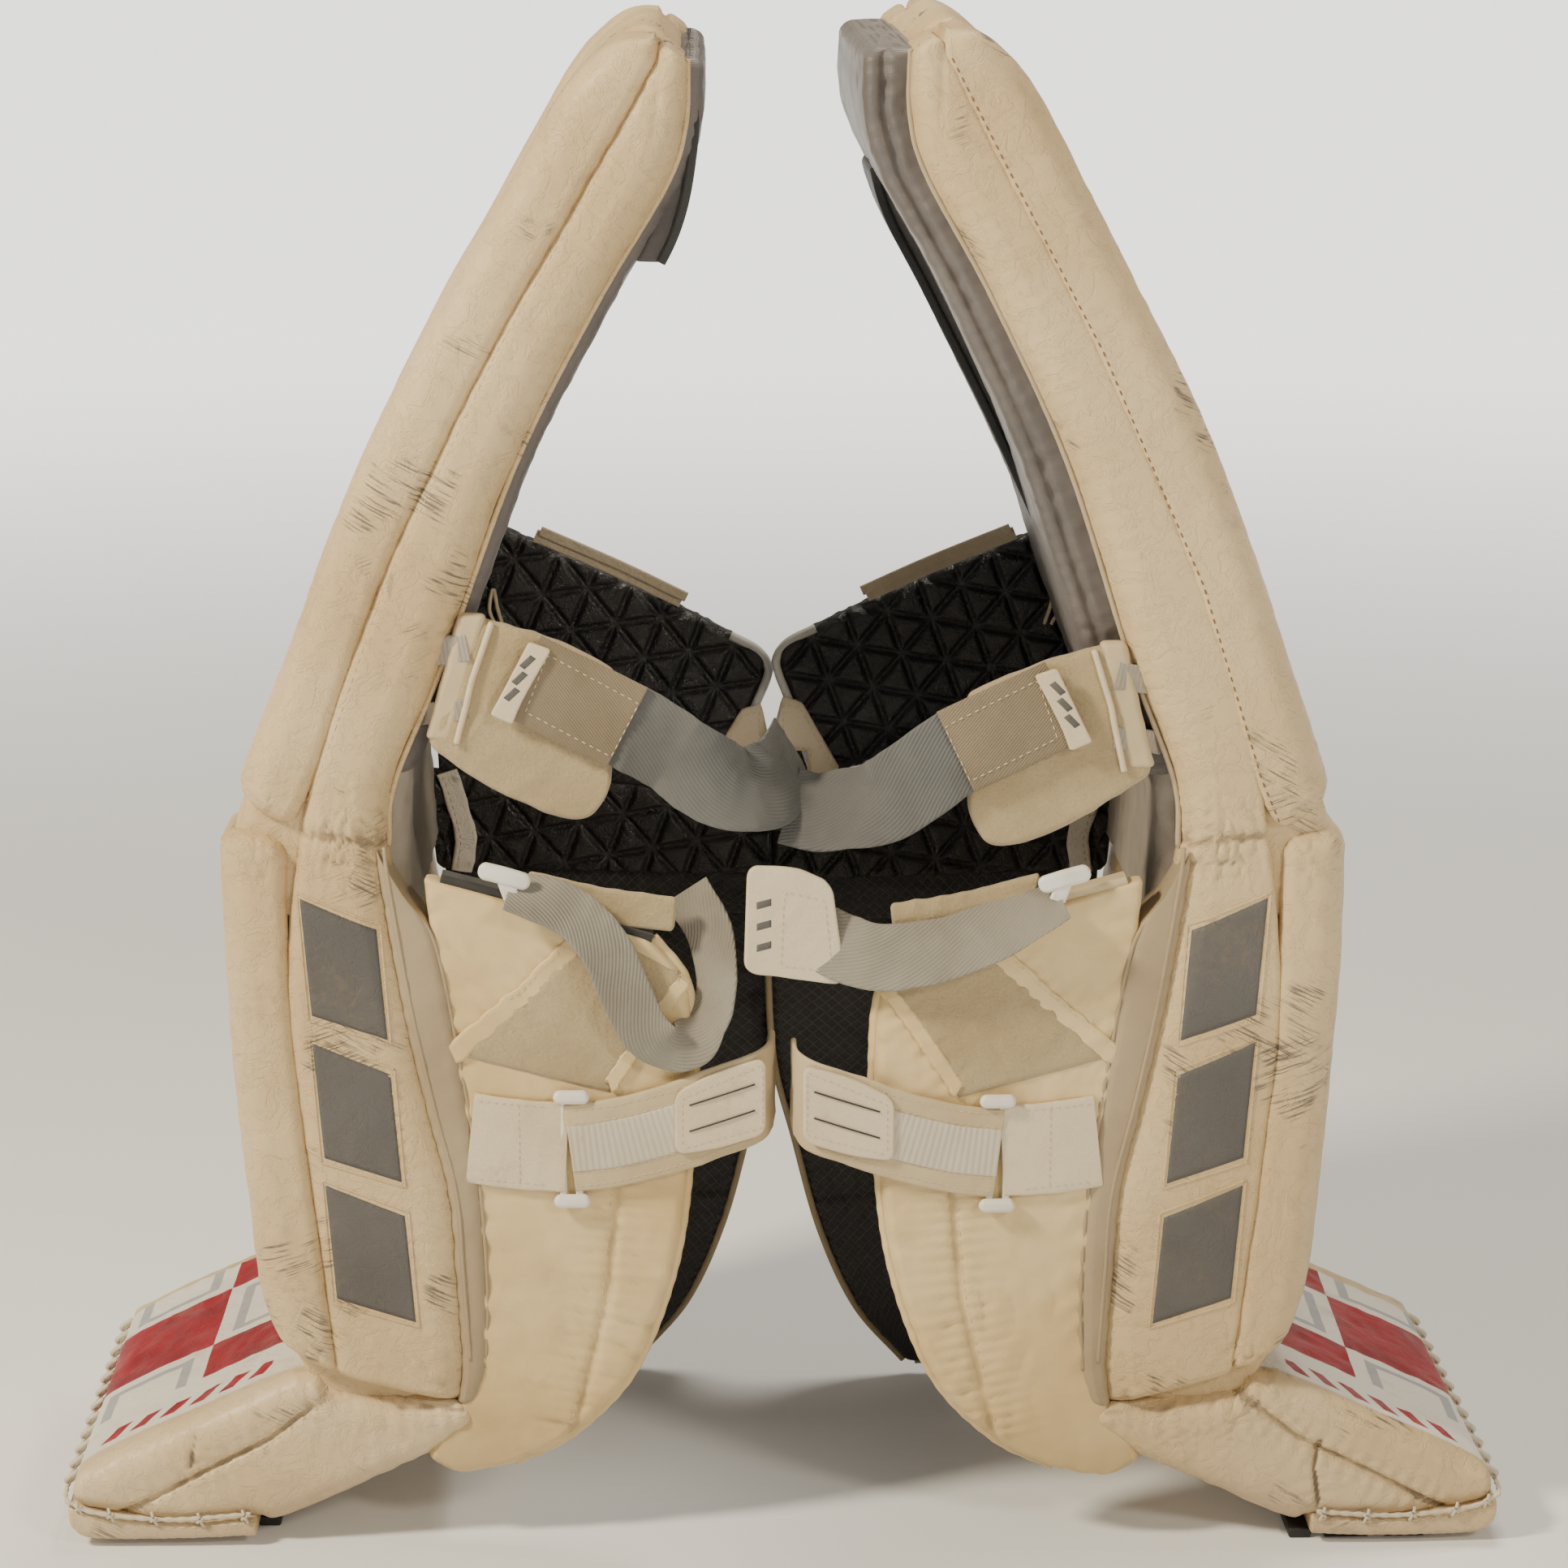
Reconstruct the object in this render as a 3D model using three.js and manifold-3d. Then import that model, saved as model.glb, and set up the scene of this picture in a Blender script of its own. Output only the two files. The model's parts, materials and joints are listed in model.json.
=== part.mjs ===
// A pair of ice-hockey goalie leg pads, standing on their toes and leaning back to back.
// Millimetres, +Z up. +X is the face side of the right pad, -X the face side of the left pad.
// Each pad is drawn once, as a right pad, and the left pad is its mirror image.
import * as THREE from 'three';
import Module from 'manifold-3d';
import { mergeVertices } from 'three/addons/utils/BufferGeometryUtils.js';

const wasm = await Module();
wasm.setup();

// ---------- driving dimensions ----------

const PAD_WIDTH = 280;
const FACE_WIDTH = 149;
const GAP = 0.4;
const HALF = PAD_WIDTH / 2;
const HALF_FACE = FACE_WIDTH / 2;
const WALL_INNER = HALF_FACE + 1.5;
const SOLE = 4.6;
const ROLL_STEP = 6;
const SHIN_CORE_DEPTH = 50;
const WALL_ROUND = 4;

const KNEE = { x: 214, z: 404 };
const ANKLE = { x: 264, z: 101 };
const YAW_PIVOT = { x: 240, y: -HALF };

// What differs between the two pads: how far each is turned about the vertical, how much more the
// thigh rise is bent over the shin, how high the knee strap sits and how the lower strap runs.
const PADS = {
  right: {
    yaw: 2.5, bend: 0, strapRise: 0,
    lowerStrapWidth: 34,
    lowerStrap: [[146, -141, 377], [112, -141.4, 359], [76, -141.2, 350], [44, -136, 351], [14, -125, 361], [-12, -120, 368]],
  },
  left: {
    yaw: -1, bend: 2.2, strapRise: 16,
    lowerStrapWidth: 28,
    lowerStrap: [
      [146, -141, 379], [118, -142, 372], [98, -146, 352], [86, -149, 325], [76, -149, 304], [59, -147, 295],
      [43, -141, 304], [37, -135, 325], [40, -122, 352], [54, -110, 374],
    ],
  },
};

// Side outlines, [x, z], from low to high.
const UPPER_FRONT = [[299, 431], [293, 450], [275, 503], [229, 627], [168, 746], [134, 810], [112, 836], [92, 848], [73, 846]];
const UPPER_SEAM = [[270, 414], [256, 444], [222, 551], [166, 677], [112, 778], [84, 830]];
const UPPER_BACK = [[216, 408], [213, 440], [188, 507], [152, 616], [111, 704], [76, 768], [67, 800], [67, 834]];
const LOWER_FRONT = [[283, 119], [294, 158], [301, 242], [306, 330], [306, 408]];
const LOWER_SEAM = [[249, 102], [257, 171], [265, 240], [271, 330], [272, 407]];
const LOWER_BACK = [[177, 80], [174, 110], [177, 160], [180, 208], [192, 261], [204, 321], [214, 386], [216, 402]];
const GUSSET_BACK = [[174, 84], [166, 105], [164, 150], [168, 219], [178, 289], [190, 352], [206, 372]];

// Layers across the pad, [near, far] along Y.
const LAYER = {
  nearWall: [-HALF, -WALL_INNER],
  face: [-HALF_FACE, HALF_FACE],
  farWall: [WALL_INNER, HALF],
  gusset: [-136, -108],
  calfFlap: [-135, -121],
  loopPatch: [-137.4, -135.4],
  calfTab: [-138.8, -135.4],
  calfRing: [-141.4, -137.4],
  strapEnd: [-145.6, -143],
  innerFlap: [120, 132],
  landingBand: [102, 114],
  kneeWing: [121, 133],
  wingVelcro: [117.6, 120.6],
  slotTab: [117.4, 120.6],
  fleeceWrap: [-131, -124],
  pullTab: [-139, -135.8],
};

const COLOUR = {
  leather: 0xe4dccb, boot: 0xe9e4d8, nylon: 0xe6dfc8, lining: 0x8c8a94, black: 0x18181b, fleece: 0xd6cfba,
  elastic: 0xb9bcc0, plastic: 0xf0efe9, tab: 0xe9e7df, bridge: 0x101012, lace: 0xece7da,
};

// ---------- helpers ----------

const spline = (points, count) =>
  new THREE.SplineCurve(points.map(([x, z]) => new THREE.Vector2(x, z)))
    .getPoints(count).map((p) => [p.x, p.y]);

const shifted = (points, dx, dz = 0) => points.map(([x, z]) => [x + dx, z + dz]);

const reversed = (points) => [...points].reverse();

const path = (points) => new THREE.Path(points.map(([x, z]) => new THREE.Vector2(x, z)));

const rectangle = (x0, x1, z0, z1) => [[x0, z0], [x1, z0], [x1, z1], [x0, z1]];

// A plate that stands in the XZ plane and reaches from layer[0] to layer[1] along Y.
function slab(outline, layer, round = 0, holes = []) {
  const [near, far] = layer;
  const shape = new THREE.Shape(outline.map(([x, z]) => new THREE.Vector2(x, z)));
  shape.holes = holes.map(path);
  const geometry = new THREE.ExtrudeGeometry(shape, {
    depth: far - near - 2 * round,
    bevelEnabled: round > 0,
    bevelThickness: round,
    bevelSize: round,
    bevelOffset: -round,
    bevelSegments: 1,
    steps: 1,
  });
  geometry.rotateX(Math.PI / 2);
  geometry.translate(0, far - round, 0);
  return geometry;
}

// A flat strap that follows 3-D points. Its width is kept upright, or its face is turned to `facing`.
function ribbon(points, width, thickness, steps, facing = null) {
  const curve = new THREE.CatmullRomCurve3(points.map((p) => new THREE.Vector3(...p)));
  const positions = [];
  for (let i = 0; i <= steps; i += 1) {
    const centre = curve.getPoint(i / steps);
    const along = curve.getTangent(i / steps);
    const flat = new THREE.Vector3(along.x, along.y, 0).normalize();
    const normal = facing ? facing.clone().addScaledVector(along, -facing.dot(along)).normalize()
      : new THREE.Vector3(flat.y, -flat.x, 0);
    const side = new THREE.Vector3().crossVectors(normal, along).normalize();
    for (const [s, n] of [[-1, -1], [1, -1], [1, 1], [-1, 1]]) {
      const corner = centre.clone()
        .addScaledVector(side, s * width / 2)
        .addScaledVector(normal, n * thickness / 2);
      positions.push(...corner.toArray());
    }
  }
  const index = [];
  for (let i = 0; i < steps; i += 1) {
    for (let c = 0; c < 4; c += 1) {
      const a = 4 * i + c;
      const b = 4 * i + (c + 1) % 4;
      index.push(a, b, b + 4, a, b + 4, a + 4);
    }
  }
  const last = 4 * steps;
  index.push(0, 3, 2, 0, 2, 1, last, last + 1, last + 2, last, last + 2, last + 3);
  const geometry = new THREE.BufferGeometry();
  geometry.setAttribute('position', new THREE.Float32BufferAttribute(positions, 3));
  geometry.setIndex(index);
  return outward(geometry);
}

// Turns the faces of a closed geometry outward when they face in.
function outward(geometry) {
  const p = geometry.attributes.position;
  const index = geometry.index.array;
  const corner = [new THREE.Vector3(), new THREE.Vector3(), new THREE.Vector3()];
  let volume = 0;
  for (let i = 0; i < index.length; i += 3) {
    corner.forEach((v, k) => v.fromBufferAttribute(p, index[i + k]));
    volume += corner[0].dot(corner[1].cross(corner[2]));
  }
  if (volume < 0) {
    for (let i = 0; i < index.length; i += 3) {
      [index[i + 1], index[i + 2]] = [index[i + 2], index[i + 1]];
    }
  }
  geometry.computeVertexNormals();
  return geometry;
}

function toManifold(geometry) {
  const bare = geometry.clone();
  bare.deleteAttribute('normal');
  bare.deleteAttribute('uv');
  const merged = mergeVertices(bare);
  return new wasm.Manifold(new wasm.Mesh({
    numProp: 3,
    vertProperties: new Float32Array(merged.attributes.position.array),
    triVerts: new Uint32Array(merged.index.array),
  }));
}

function union(...geometries) {
  const mesh = geometries.map(toManifold).reduce((a, b) => a.add(b)).getMesh();
  const geometry = new THREE.BufferGeometry();
  geometry.setAttribute('position', new THREE.Float32BufferAttribute(mesh.vertProperties, 3));
  geometry.setIndex([...mesh.triVerts]);
  geometry.computeVertexNormals();
  return geometry;
}

function piece(name, geometry, color, roughness = 0.7) {
  const mesh = new THREE.Mesh(geometry, new THREE.MeshStandardMaterial({ color, roughness, metalness: 0 }));
  mesh.name = name;
  return mesh;
}

// ---------- shin: face, walls, gusset, landing ----------

function shin(pad) {
  const front = spline(LOWER_FRONT, 10);
  const seam = spline(LOWER_SEAM, 10);
  const back = spline(LOWER_BACK, 12);
  const roll = [[262, 107], ...front, [299, 418], ...reversed(shifted(seam, GAP))];
  const wall = [...back, ...reversed(shifted(seam, -GAP)), [246, 93]];
  const wholeWall = [[262, 107], ...front, [299, 418], [272, 408], ...reversed(back), [246, 93]];
  const core = [
    [262, 107],
    ...shifted(front, -ROLL_STEP).slice(0, -1),
    [300, 402], [292, 412], [250, 402],
    ...reversed(shifted(front, -ROLL_STEP - SHIN_CORE_DEPTH).slice(0, -1)),
  ];
  const gusset = [
    ...spline(GUSSET_BACK, 10),
    ...reversed(shifted(spline(LOWER_BACK, 12).filter(([, z]) => z > 84 && z < 372), -1.2)),
  ];
  const landing = [[13, 326], [203, 330], [208, 376], [206, 390], [105, 384], [13, 371]];
  return [
    piece(`${pad}_shin_core`, slab(core, LAYER.face, WALL_ROUND), COLOUR.leather),
    piece(`${pad}_shin_roll`, slab(roll, LAYER.nearWall, WALL_ROUND), COLOUR.leather),
    piece(`${pad}_shin_side_outer`, slab(wall, LAYER.nearWall, WALL_ROUND), COLOUR.leather),
    piece(`${pad}_shin_side_inner`, slab(wholeWall, LAYER.farWall, WALL_ROUND), COLOUR.leather),
    piece(`${pad}_gusset`, slab(gusset, LAYER.gusset, 2), COLOUR.nylon),
    piece(`${pad}_landing_band`, slab(landing, LAYER.landingBand, 2), COLOUR.black),
  ];
}

// ---------- boot: shell, toe cap, toe bridge, lacing ----------

function boot(pad) {
  const shell = [
    [180, 74], [247, 87], [264, 99], [285, 94], [334, 72], [375, 53], [395, 42], [401, 32], [399, 25],
    [376, 17], [336, 13], [297, 17], [284, 14], [239, 34], [196, 57],
  ];
  const cap = [[297, 16], [336, 12], [376, 16], [399, 24], [401, 14], [394, 6], [386, SOLE], [336, SOLE], [297, SOLE + 2]];
  const bridge = [[288, 0], [372, 0], [376, 4.2], [284, 4.2]];
  const lace = new THREE.CatmullRomCurve3([
    [300, -141.5, 20], [345, -141.5, 16], [384, -142, 20], [401, -142, 26], [405, -137, 28], [405, -70, 28],
    [405, 70, 28], [405, 137, 28], [401, 142, 26], [384, 142, 20], [345, 141.5, 16], [300, 141.5, 20],
  ].map((p) => new THREE.Vector3(...p)));
  const section = new THREE.Shape(new THREE.Path().absarc(0, 0, 1.6, 0, 2 * Math.PI).getPoints(4));
  const lacing = new THREE.ExtrudeGeometry(section, { steps: 36, bevelEnabled: false, extrudePath: lace });
  return [
    piece(`${pad}_boot_shell`, slab(shell, [-HALF + 1, HALF - 1], WALL_ROUND), COLOUR.boot),
    piece(`${pad}_toe_cap`, slab(cap, [-HALF + 1, HALF - 1], 1.5), COLOUR.boot),
    piece(`${pad}_toe_bridge`, slab(bridge, [-HALF + 8, HALF - 8]), COLOUR.bridge, 0.5),
    piece(`${pad}_toe_lacing`, lacing, COLOUR.lace, 0.9),
  ];
}

// ---------- thigh rise: face, walls, liner ----------

function thigh(pad) {
  const front = spline(UPPER_FRONT, 16);
  const seam = spline(UPPER_SEAM, 12);
  const back = spline(UPPER_BACK, 14);
  const roll = [[293, 424], ...front, ...reversed(shifted(seam, GAP))];
  const wall = [...back, ...reversed(shifted(seam, -GAP))];
  const wholeWall = [[270, 415], [293, 424], ...front, ...reversed(back)];
  const core = [[262, 413], [288, 424], ...shifted(front, -ROLL_STEP).slice(0, -1), [76, 836], ...reversed(back)];
  const linerSide = (low) => {
    const edge = back.filter(([, z]) => z > low && z < 832);
    return [...shifted(edge, -18), ...reversed(shifted(edge, -1))];
  };
  const liner = union(slab(linerSide(555), [6, 118]), slab(linerSide(722), [-118, 6.5]));
  return [
    piece(`${pad}_thigh_core`, slab(core, LAYER.face, 2), COLOUR.leather),
    piece(`${pad}_thigh_roll`, slab(roll, LAYER.nearWall, 3), COLOUR.leather),
    piece(`${pad}_thigh_side_outer`, slab(wall, LAYER.nearWall, 3), COLOUR.leather),
    piece(`${pad}_thigh_side_inner`, slab(wholeWall, LAYER.farWall, 3), COLOUR.leather),
    piece(`${pad}_thigh_liner`, liner, COLOUR.lining, 0.9),
  ];
}

// ---------- knee wing and its strap ----------

function kneeWing(pad) {
  const wing = [[32, 385], [203, 432], [207, 446], [183, 507], [174, 538], [125, 519], [52, 488], [13, 466]];
  const velcro = [[60, 494], [147, 529], [143, 540], [56, 505]];
  const slotTab = [[6, 382], [36, 372], [44, 392], [22, 432], [10, 436], [5, 416]];
  return [
    piece(`${pad}_knee_wing`, slab(wing, LAYER.kneeWing, 2), COLOUR.black, 0.5),
    piece(`${pad}_wing_velcro`, slab(velcro, LAYER.wingVelcro), COLOUR.fleece, 0.95),
    piece(`${pad}_slot_tab`, slab(slotTab, LAYER.slotTab, 0, [rectangle(13, 25, 385, 402)]), COLOUR.tab),
  ];
}

function kneeStrap(pad, rise) {
  const wrap = [[191, 452], [180, 519], [93, 487], [68, 427]];
  const pull = [[164, 468], [154, 464], [136, 504], [145, 508]];
  const elastic = [
    [149, -134.4, 487], [98, -134.4, 464], [66, -132.5, 450], [38, -123, 434], [17, -104, 421], [10, -84, 415],
  ];
  const setBack = -0.3 * rise;
  const raised = elastic.map(([x, y, z]) => [x + setBack, y, z + rise]);
  return [
    piece(`${pad}_fleece_wrap`, slab(shifted(wrap, setBack, rise), LAYER.fleeceWrap), COLOUR.fleece, 0.95),
    piece(`${pad}_knee_elastic`, ribbon(raised, 46, 2, 14), COLOUR.elastic, 0.85),
    piece(`${pad}_pull_tab`, slab(shifted(pull, setBack, rise), LAYER.pullTab), COLOUR.tab, 0.5),
  ];
}

// ---------- calf flap, its patch, lower strap and calf strap ----------

function calfFlap(pad, lowerStrap, lowerStrapWidth) {
  const flap = [
    [192, 42], [172, 76], [161, 102], [159, 148], [163, 219], [172, 289], [181, 345], [186, 386],
    [147, 379], [110, 366], [72, 352], [53, 326], [51, 280], [60, 167], [84, 104], [118, 66], [152, 48],
  ];
  const patch = [[62, 343], [104, 356], [130, 336], [167, 286], [96, 269], [58, 322]];
  const tab = [[132, 209], [160, 209], [164, 262], [132, 262]];
  const hook = [[142, 379], [164, 385], [162, 393], [150, 397], [138, 391]];
  return [
    piece(`${pad}_calf_flap`, slab(flap, LAYER.calfFlap, 3), COLOUR.nylon),
    piece(`${pad}_loop_patch`, slab(patch, LAYER.loopPatch), COLOUR.fleece, 0.95),
    piece(`${pad}_calf_tab`, slab(tab, LAYER.calfTab, 0.8), COLOUR.tab),
    piece(`${pad}_strap_hook`, slab(shifted(hook, 8, 0), [-142, -138], 0.8), COLOUR.plastic, 0.4),
    piece(`${pad}_lower_strap`, ribbon(lowerStrap, lowerStrapWidth, 1.6, 24, new THREE.Vector3(0, -1, 0)), COLOUR.elastic, 0.85),
  ];
}

function calfStrap(pad) {
  const ring = [[116, 205], [130, 205], [130, 265], [116, 265]];
  const end = [[56, 227], [56, 272], [48, 278], [16, 289], [9, 284], [9, 248], [16, 240]];
  const band = [[111, -139.2, 235], [78, -139.4, 242], [40, -139.4, 255], [16, -138.2, 264], [9, -126, 267], [8, -112, 268]];
  return [
    piece(`${pad}_calf_ring`, slab(ring, LAYER.calfRing, 0.8, [rectangle(120, 126, 211, 259)]), COLOUR.plastic, 0.35),
    piece(`${pad}_calf_strap`, ribbon(band, 46, 2.2, 14), COLOUR.fleece, 0.9),
    piece(`${pad}_calf_strap_end`, slab(end, LAYER.strapEnd, 0.6), COLOUR.tab),
  ];
}

// ---------- inner flap ----------

function innerFlap(pad) {
  const flap = [
    [13, 270], [12, 209], [20, 160], [34, 100], [56, 50], [88, 14], [122, 16], [152, 40], [172, 78],
    [170, 110], [173, 160], [176, 206], [188, 261], [198, 318], [13, 320],
  ];
  return [piece(`${pad}_inner_flap`, slab(flap, LAYER.innerFlap, 2), COLOUR.black, 0.6)];
}

// ---------- one pad, and the pair ----------

// Turns a group about the axis through (x, z) that runs along Y, positive towards -X at the top.
function bentAbout(point, degrees, meshes) {
  const turned = new THREE.Group();
  turned.add(...meshes);
  meshes.forEach((mesh) => mesh.position.set(-point.x, 0, -point.z));
  turned.position.set(point.x, 0, point.z);
  turned.rotation.y = -THREE.MathUtils.degToRad(degrees);
  return turned;
}

function goaliePad(name, { yaw, bend, strapRise, lowerStrap, lowerStrapWidth }) {
  const body = new THREE.Group();
  body.add(...shin(name), ...boot(name), ...innerFlap(name), ...calfFlap(name, lowerStrap, lowerStrapWidth), ...calfStrap(name));
  body.add(bentAbout(KNEE, bend, [...thigh(name), ...kneeWing(name), ...kneeStrap(name, strapRise)]));
  body.position.set(-YAW_PIVOT.x, -YAW_PIVOT.y, 0);
  const turned = new THREE.Group();
  turned.add(body);
  turned.rotation.z = THREE.MathUtils.degToRad(yaw);
  turned.position.set(YAW_PIVOT.x, YAW_PIVOT.y, 0);
  return turned;
}

const rightPad = goaliePad('right', PADS.right);
const leftPad = new THREE.Group();
leftPad.add(goaliePad('left', PADS.left));
leftPad.scale.x = -1;

const goaliePads = new THREE.Group();
goaliePads.add(rightPad, leftPad);

// The origin is the middle of the pair's footprint, on the floor.
const extent = new THREE.Box3().setFromObject(goaliePads, true);
const middle = extent.getCenter(new THREE.Vector3());
goaliePads.position.set(-middle.x, -middle.y, -extent.min.z);

export default goaliePads;
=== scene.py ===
import json
import math
from functools import partial

import bpy
import numpy as np
from mathutils import Matrix, Vector
from mathutils.bvhtree import BVHTree


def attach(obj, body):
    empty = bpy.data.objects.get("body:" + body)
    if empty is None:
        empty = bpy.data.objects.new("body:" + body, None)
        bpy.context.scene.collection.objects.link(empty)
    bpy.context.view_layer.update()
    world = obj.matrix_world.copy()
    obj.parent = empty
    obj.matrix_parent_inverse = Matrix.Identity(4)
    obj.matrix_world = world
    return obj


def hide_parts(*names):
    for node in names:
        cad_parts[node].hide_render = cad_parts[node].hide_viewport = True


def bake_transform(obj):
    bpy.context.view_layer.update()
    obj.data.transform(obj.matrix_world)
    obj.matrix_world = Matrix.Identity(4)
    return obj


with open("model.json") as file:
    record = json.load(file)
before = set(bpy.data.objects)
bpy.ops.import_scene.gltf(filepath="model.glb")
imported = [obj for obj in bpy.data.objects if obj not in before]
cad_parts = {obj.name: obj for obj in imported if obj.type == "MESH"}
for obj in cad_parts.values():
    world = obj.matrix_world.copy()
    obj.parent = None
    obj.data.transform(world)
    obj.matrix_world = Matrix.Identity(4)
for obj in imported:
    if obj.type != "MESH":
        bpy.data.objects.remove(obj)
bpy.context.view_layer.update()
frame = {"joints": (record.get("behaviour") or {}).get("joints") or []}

# ---------------------------------------------------------------- pad frames
# Each pad is drawn as the right pad, in its own frame in millimetres:
# +x to the face, -y to the strap side, +z up.

MM = 0.001
KNEE = Vector((214, 0, 404))  # on the knee joint's axis
KNEE_LOW, KNEE_HIGH = 388, 430  # the heights between which a piece over the knee bends
BEND = {"right": 0.0, "left": 2.2}  # extra forward bend of the thigh rise at rest, in degrees
STRAP_RISE = {"right": 0, "left": 16}  # how much higher a knee strap sits, in millimetres
SIDES = ("right", "left")


def pad_matrix(side, part):
    """Carries pad millimetres to the row frame; the thigh rise of each pad has its own extra bend."""
    joint = next(j for j in frame["joints"] if j["name"] == side + "_knee_flex")
    yaw = math.asin(joint["axis"][0])
    flip = Matrix.Diagonal((-1, 1, 1, 1)) if side == "left" else Matrix.Identity(4)
    bend = math.radians(BEND[side]) if part == "thigh" else 0
    turn = Matrix.Rotation(yaw, 4, "Z") @ Matrix.Rotation(-bend, 4, "Y")
    matrix = Matrix.Translation(joint["pos_m"]) @ flip @ turn @ Matrix.Scale(MM, 4)
    return matrix @ Matrix.Translation(-KNEE)


# ---------------------------------------------------------------- curves and noise


def resample(points, count):
    points = np.asarray(points, float)
    steps = np.r_[0, np.cumsum(np.linalg.norm(np.diff(points, axis=0), axis=1))]
    at = np.linspace(0, steps[-1], count)
    return np.stack([np.interp(at, steps, points[:, k]) for k in range(points.shape[1])], 1)


def spline(points, count=120):
    """Points evenly spaced along a smooth line through the given ones."""
    p = np.asarray(points, float)
    if len(p) < 3:
        return resample(p, count)
    ends = np.vstack([2 * p[0] - p[1], p, 2 * p[-1] - p[-2]])
    fine = []
    for a, b, c, d in zip(ends, ends[1:], ends[2:], ends[3:]):
        curve, turn = 2 * a - 5 * b + 4 * c - d, 3 * b - a - 3 * c + d
        for t in np.linspace(0, 1, 14, endpoint=False):
            fine.append(0.5 * (2 * b + (c - a) * t + curve * t**2 + turn * t**3))
    fine.append(p[-1])
    return resample(fine, count)


def ripple(p, size, seed=0, waves=9):
    """Smooth seeded noise from -1 to 1 whose bumps are about `size` across."""
    rng = np.random.default_rng(seed)
    k = rng.normal(size=(waves, p.shape[-1]))
    lengths = np.linalg.norm(k, axis=1, keepdims=True)
    k *= (2 * math.pi / size) * rng.uniform(0.6, 1.5, (waves, 1)) / lengths
    phase = rng.uniform(0, 2 * math.pi, waves)
    return np.sin(p @ k.T + phase).sum(-1) / (0.75 * waves)


def line_distance(x, z, line):
    """Distance from each (x, z) to a polyline, and how far along the polyline the nearest point is."""
    best = np.full(x.shape, 1e9)
    along = np.zeros(x.shape)
    start = 0.0
    for (ax, az), (bx, bz) in zip(line, line[1:]):
        dx, dz = bx - ax, bz - az
        length = math.hypot(dx, dz)
        t = np.clip(((x - ax) * dx + (z - az) * dz) / length**2, 0, 1)
        d = np.hypot(x - ax - t * dx, z - az - t * dz)
        nearer = d < best
        best = np.where(nearer, d, best)
        along = np.where(nearer, start + t * length, along)
        start += length
    return best, along


def seam_relief(x, z, line, depth=2.0, width=4.0, pucker=0.6, spacing=9.0, reach=12.0):
    """A sewn line: a groove, with small puckers that die out away from it."""
    d, along = line_distance(x, z, line)
    wobble = np.sin(along * 2 * math.pi / spacing + 1.7 * np.sin(along / 23.0))
    puckers = pucker * wobble * np.exp(-((d / reach) ** 2)) * (1 - np.exp(-((d / 3) ** 2)))
    return puckers - depth * np.exp(-((d / width) ** 2))


def knot_relief(p, centre, radius, depth, size, seed):
    """Crinkled leather round a point."""
    near = np.exp(-(((p - np.array(centre)) ** 2).sum(-1)) / radius**2)
    return depth * near * (np.abs(ripple(p, size, seed)) - 0.35)


def triangles(x, z, side=27, height=2.6, groove=3.4):
    """Raised triangles between three families of parallel grooves."""
    pitch = side * math.sqrt(3) / 2
    nearest = np.full(x.shape, 1e9)
    for degrees in (20, 80, 140):
        a = math.radians(degrees)
        across = (x * math.cos(a) + z * math.sin(a)) / pitch
        nearest = np.minimum(nearest, np.abs(across - np.round(across)) * pitch)
    t = np.clip(nearest / groove, 0, 1)
    return height * (t * t * (3 - 2 * t) - 0.5) + 0.25 * height * np.clip(nearest / (pitch / 3), 0, 1)


# ---------------------------------------------------------------- solids


def rounding(dist, low, high):
    """Inset at each distance along a piece whose two ends are rounded with these radii."""

    def inset(d, r):
        return r - np.sqrt(np.maximum(r * r - np.minimum(r - d, r) ** 2, 0)) if r > 0 else 0 * d

    left = dist[-1] - dist
    return np.where(dist < low, inset(dist, low), 0) + np.where(left < high, inset(left, high), 0)


def stations(length, ends, thickness, count):
    """Distances along a piece, closer together where its ends are rounded."""
    turns = 1 - np.cos(np.radians(np.linspace(0, 90, 6)))
    dist = [np.linspace(0, length, count)]
    for r in {ends[0], min(ends[0], 0.45 * thickness)}:
        dist.append(r * turns)
    for r in {ends[1], min(ends[1], 0.45 * thickness)}:
        dist.append(length - r * turns)
    dist = np.unique(np.round(np.concatenate(dist), 3))
    return dist[np.r_[True, np.diff(dist) > 0.04]]


GROOVES = {}  # by the id of a solid's points: the points, kept alive, and how deep each one lies


def hollows(raised, p, reach=7.0):
    """How far each point of a grid lies below its surroundings, in millimetres: painted shade and soiling
    darken it there.
    """
    smooth = raised.copy()
    for axis in (0, 1):
        step = np.linalg.norm(np.diff(p, axis=axis), axis=2).mean()
        cells = min(int(reach / max(step, 0.3)) + 1, 24)
        margins = [(cells, cells) if k == axis else (0, 0) for k in (0, 1)]
        padded = np.pad(smooth, margins, mode="wrap" if axis else "edge")
        size, window = smooth.shape[axis], range(2 * cells + 1)
        smooth = sum(np.take(padded, range(k, k + size), axis=axis) for k in window) / len(window)
    return np.clip(smooth - raised, 0, 3)


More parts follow.
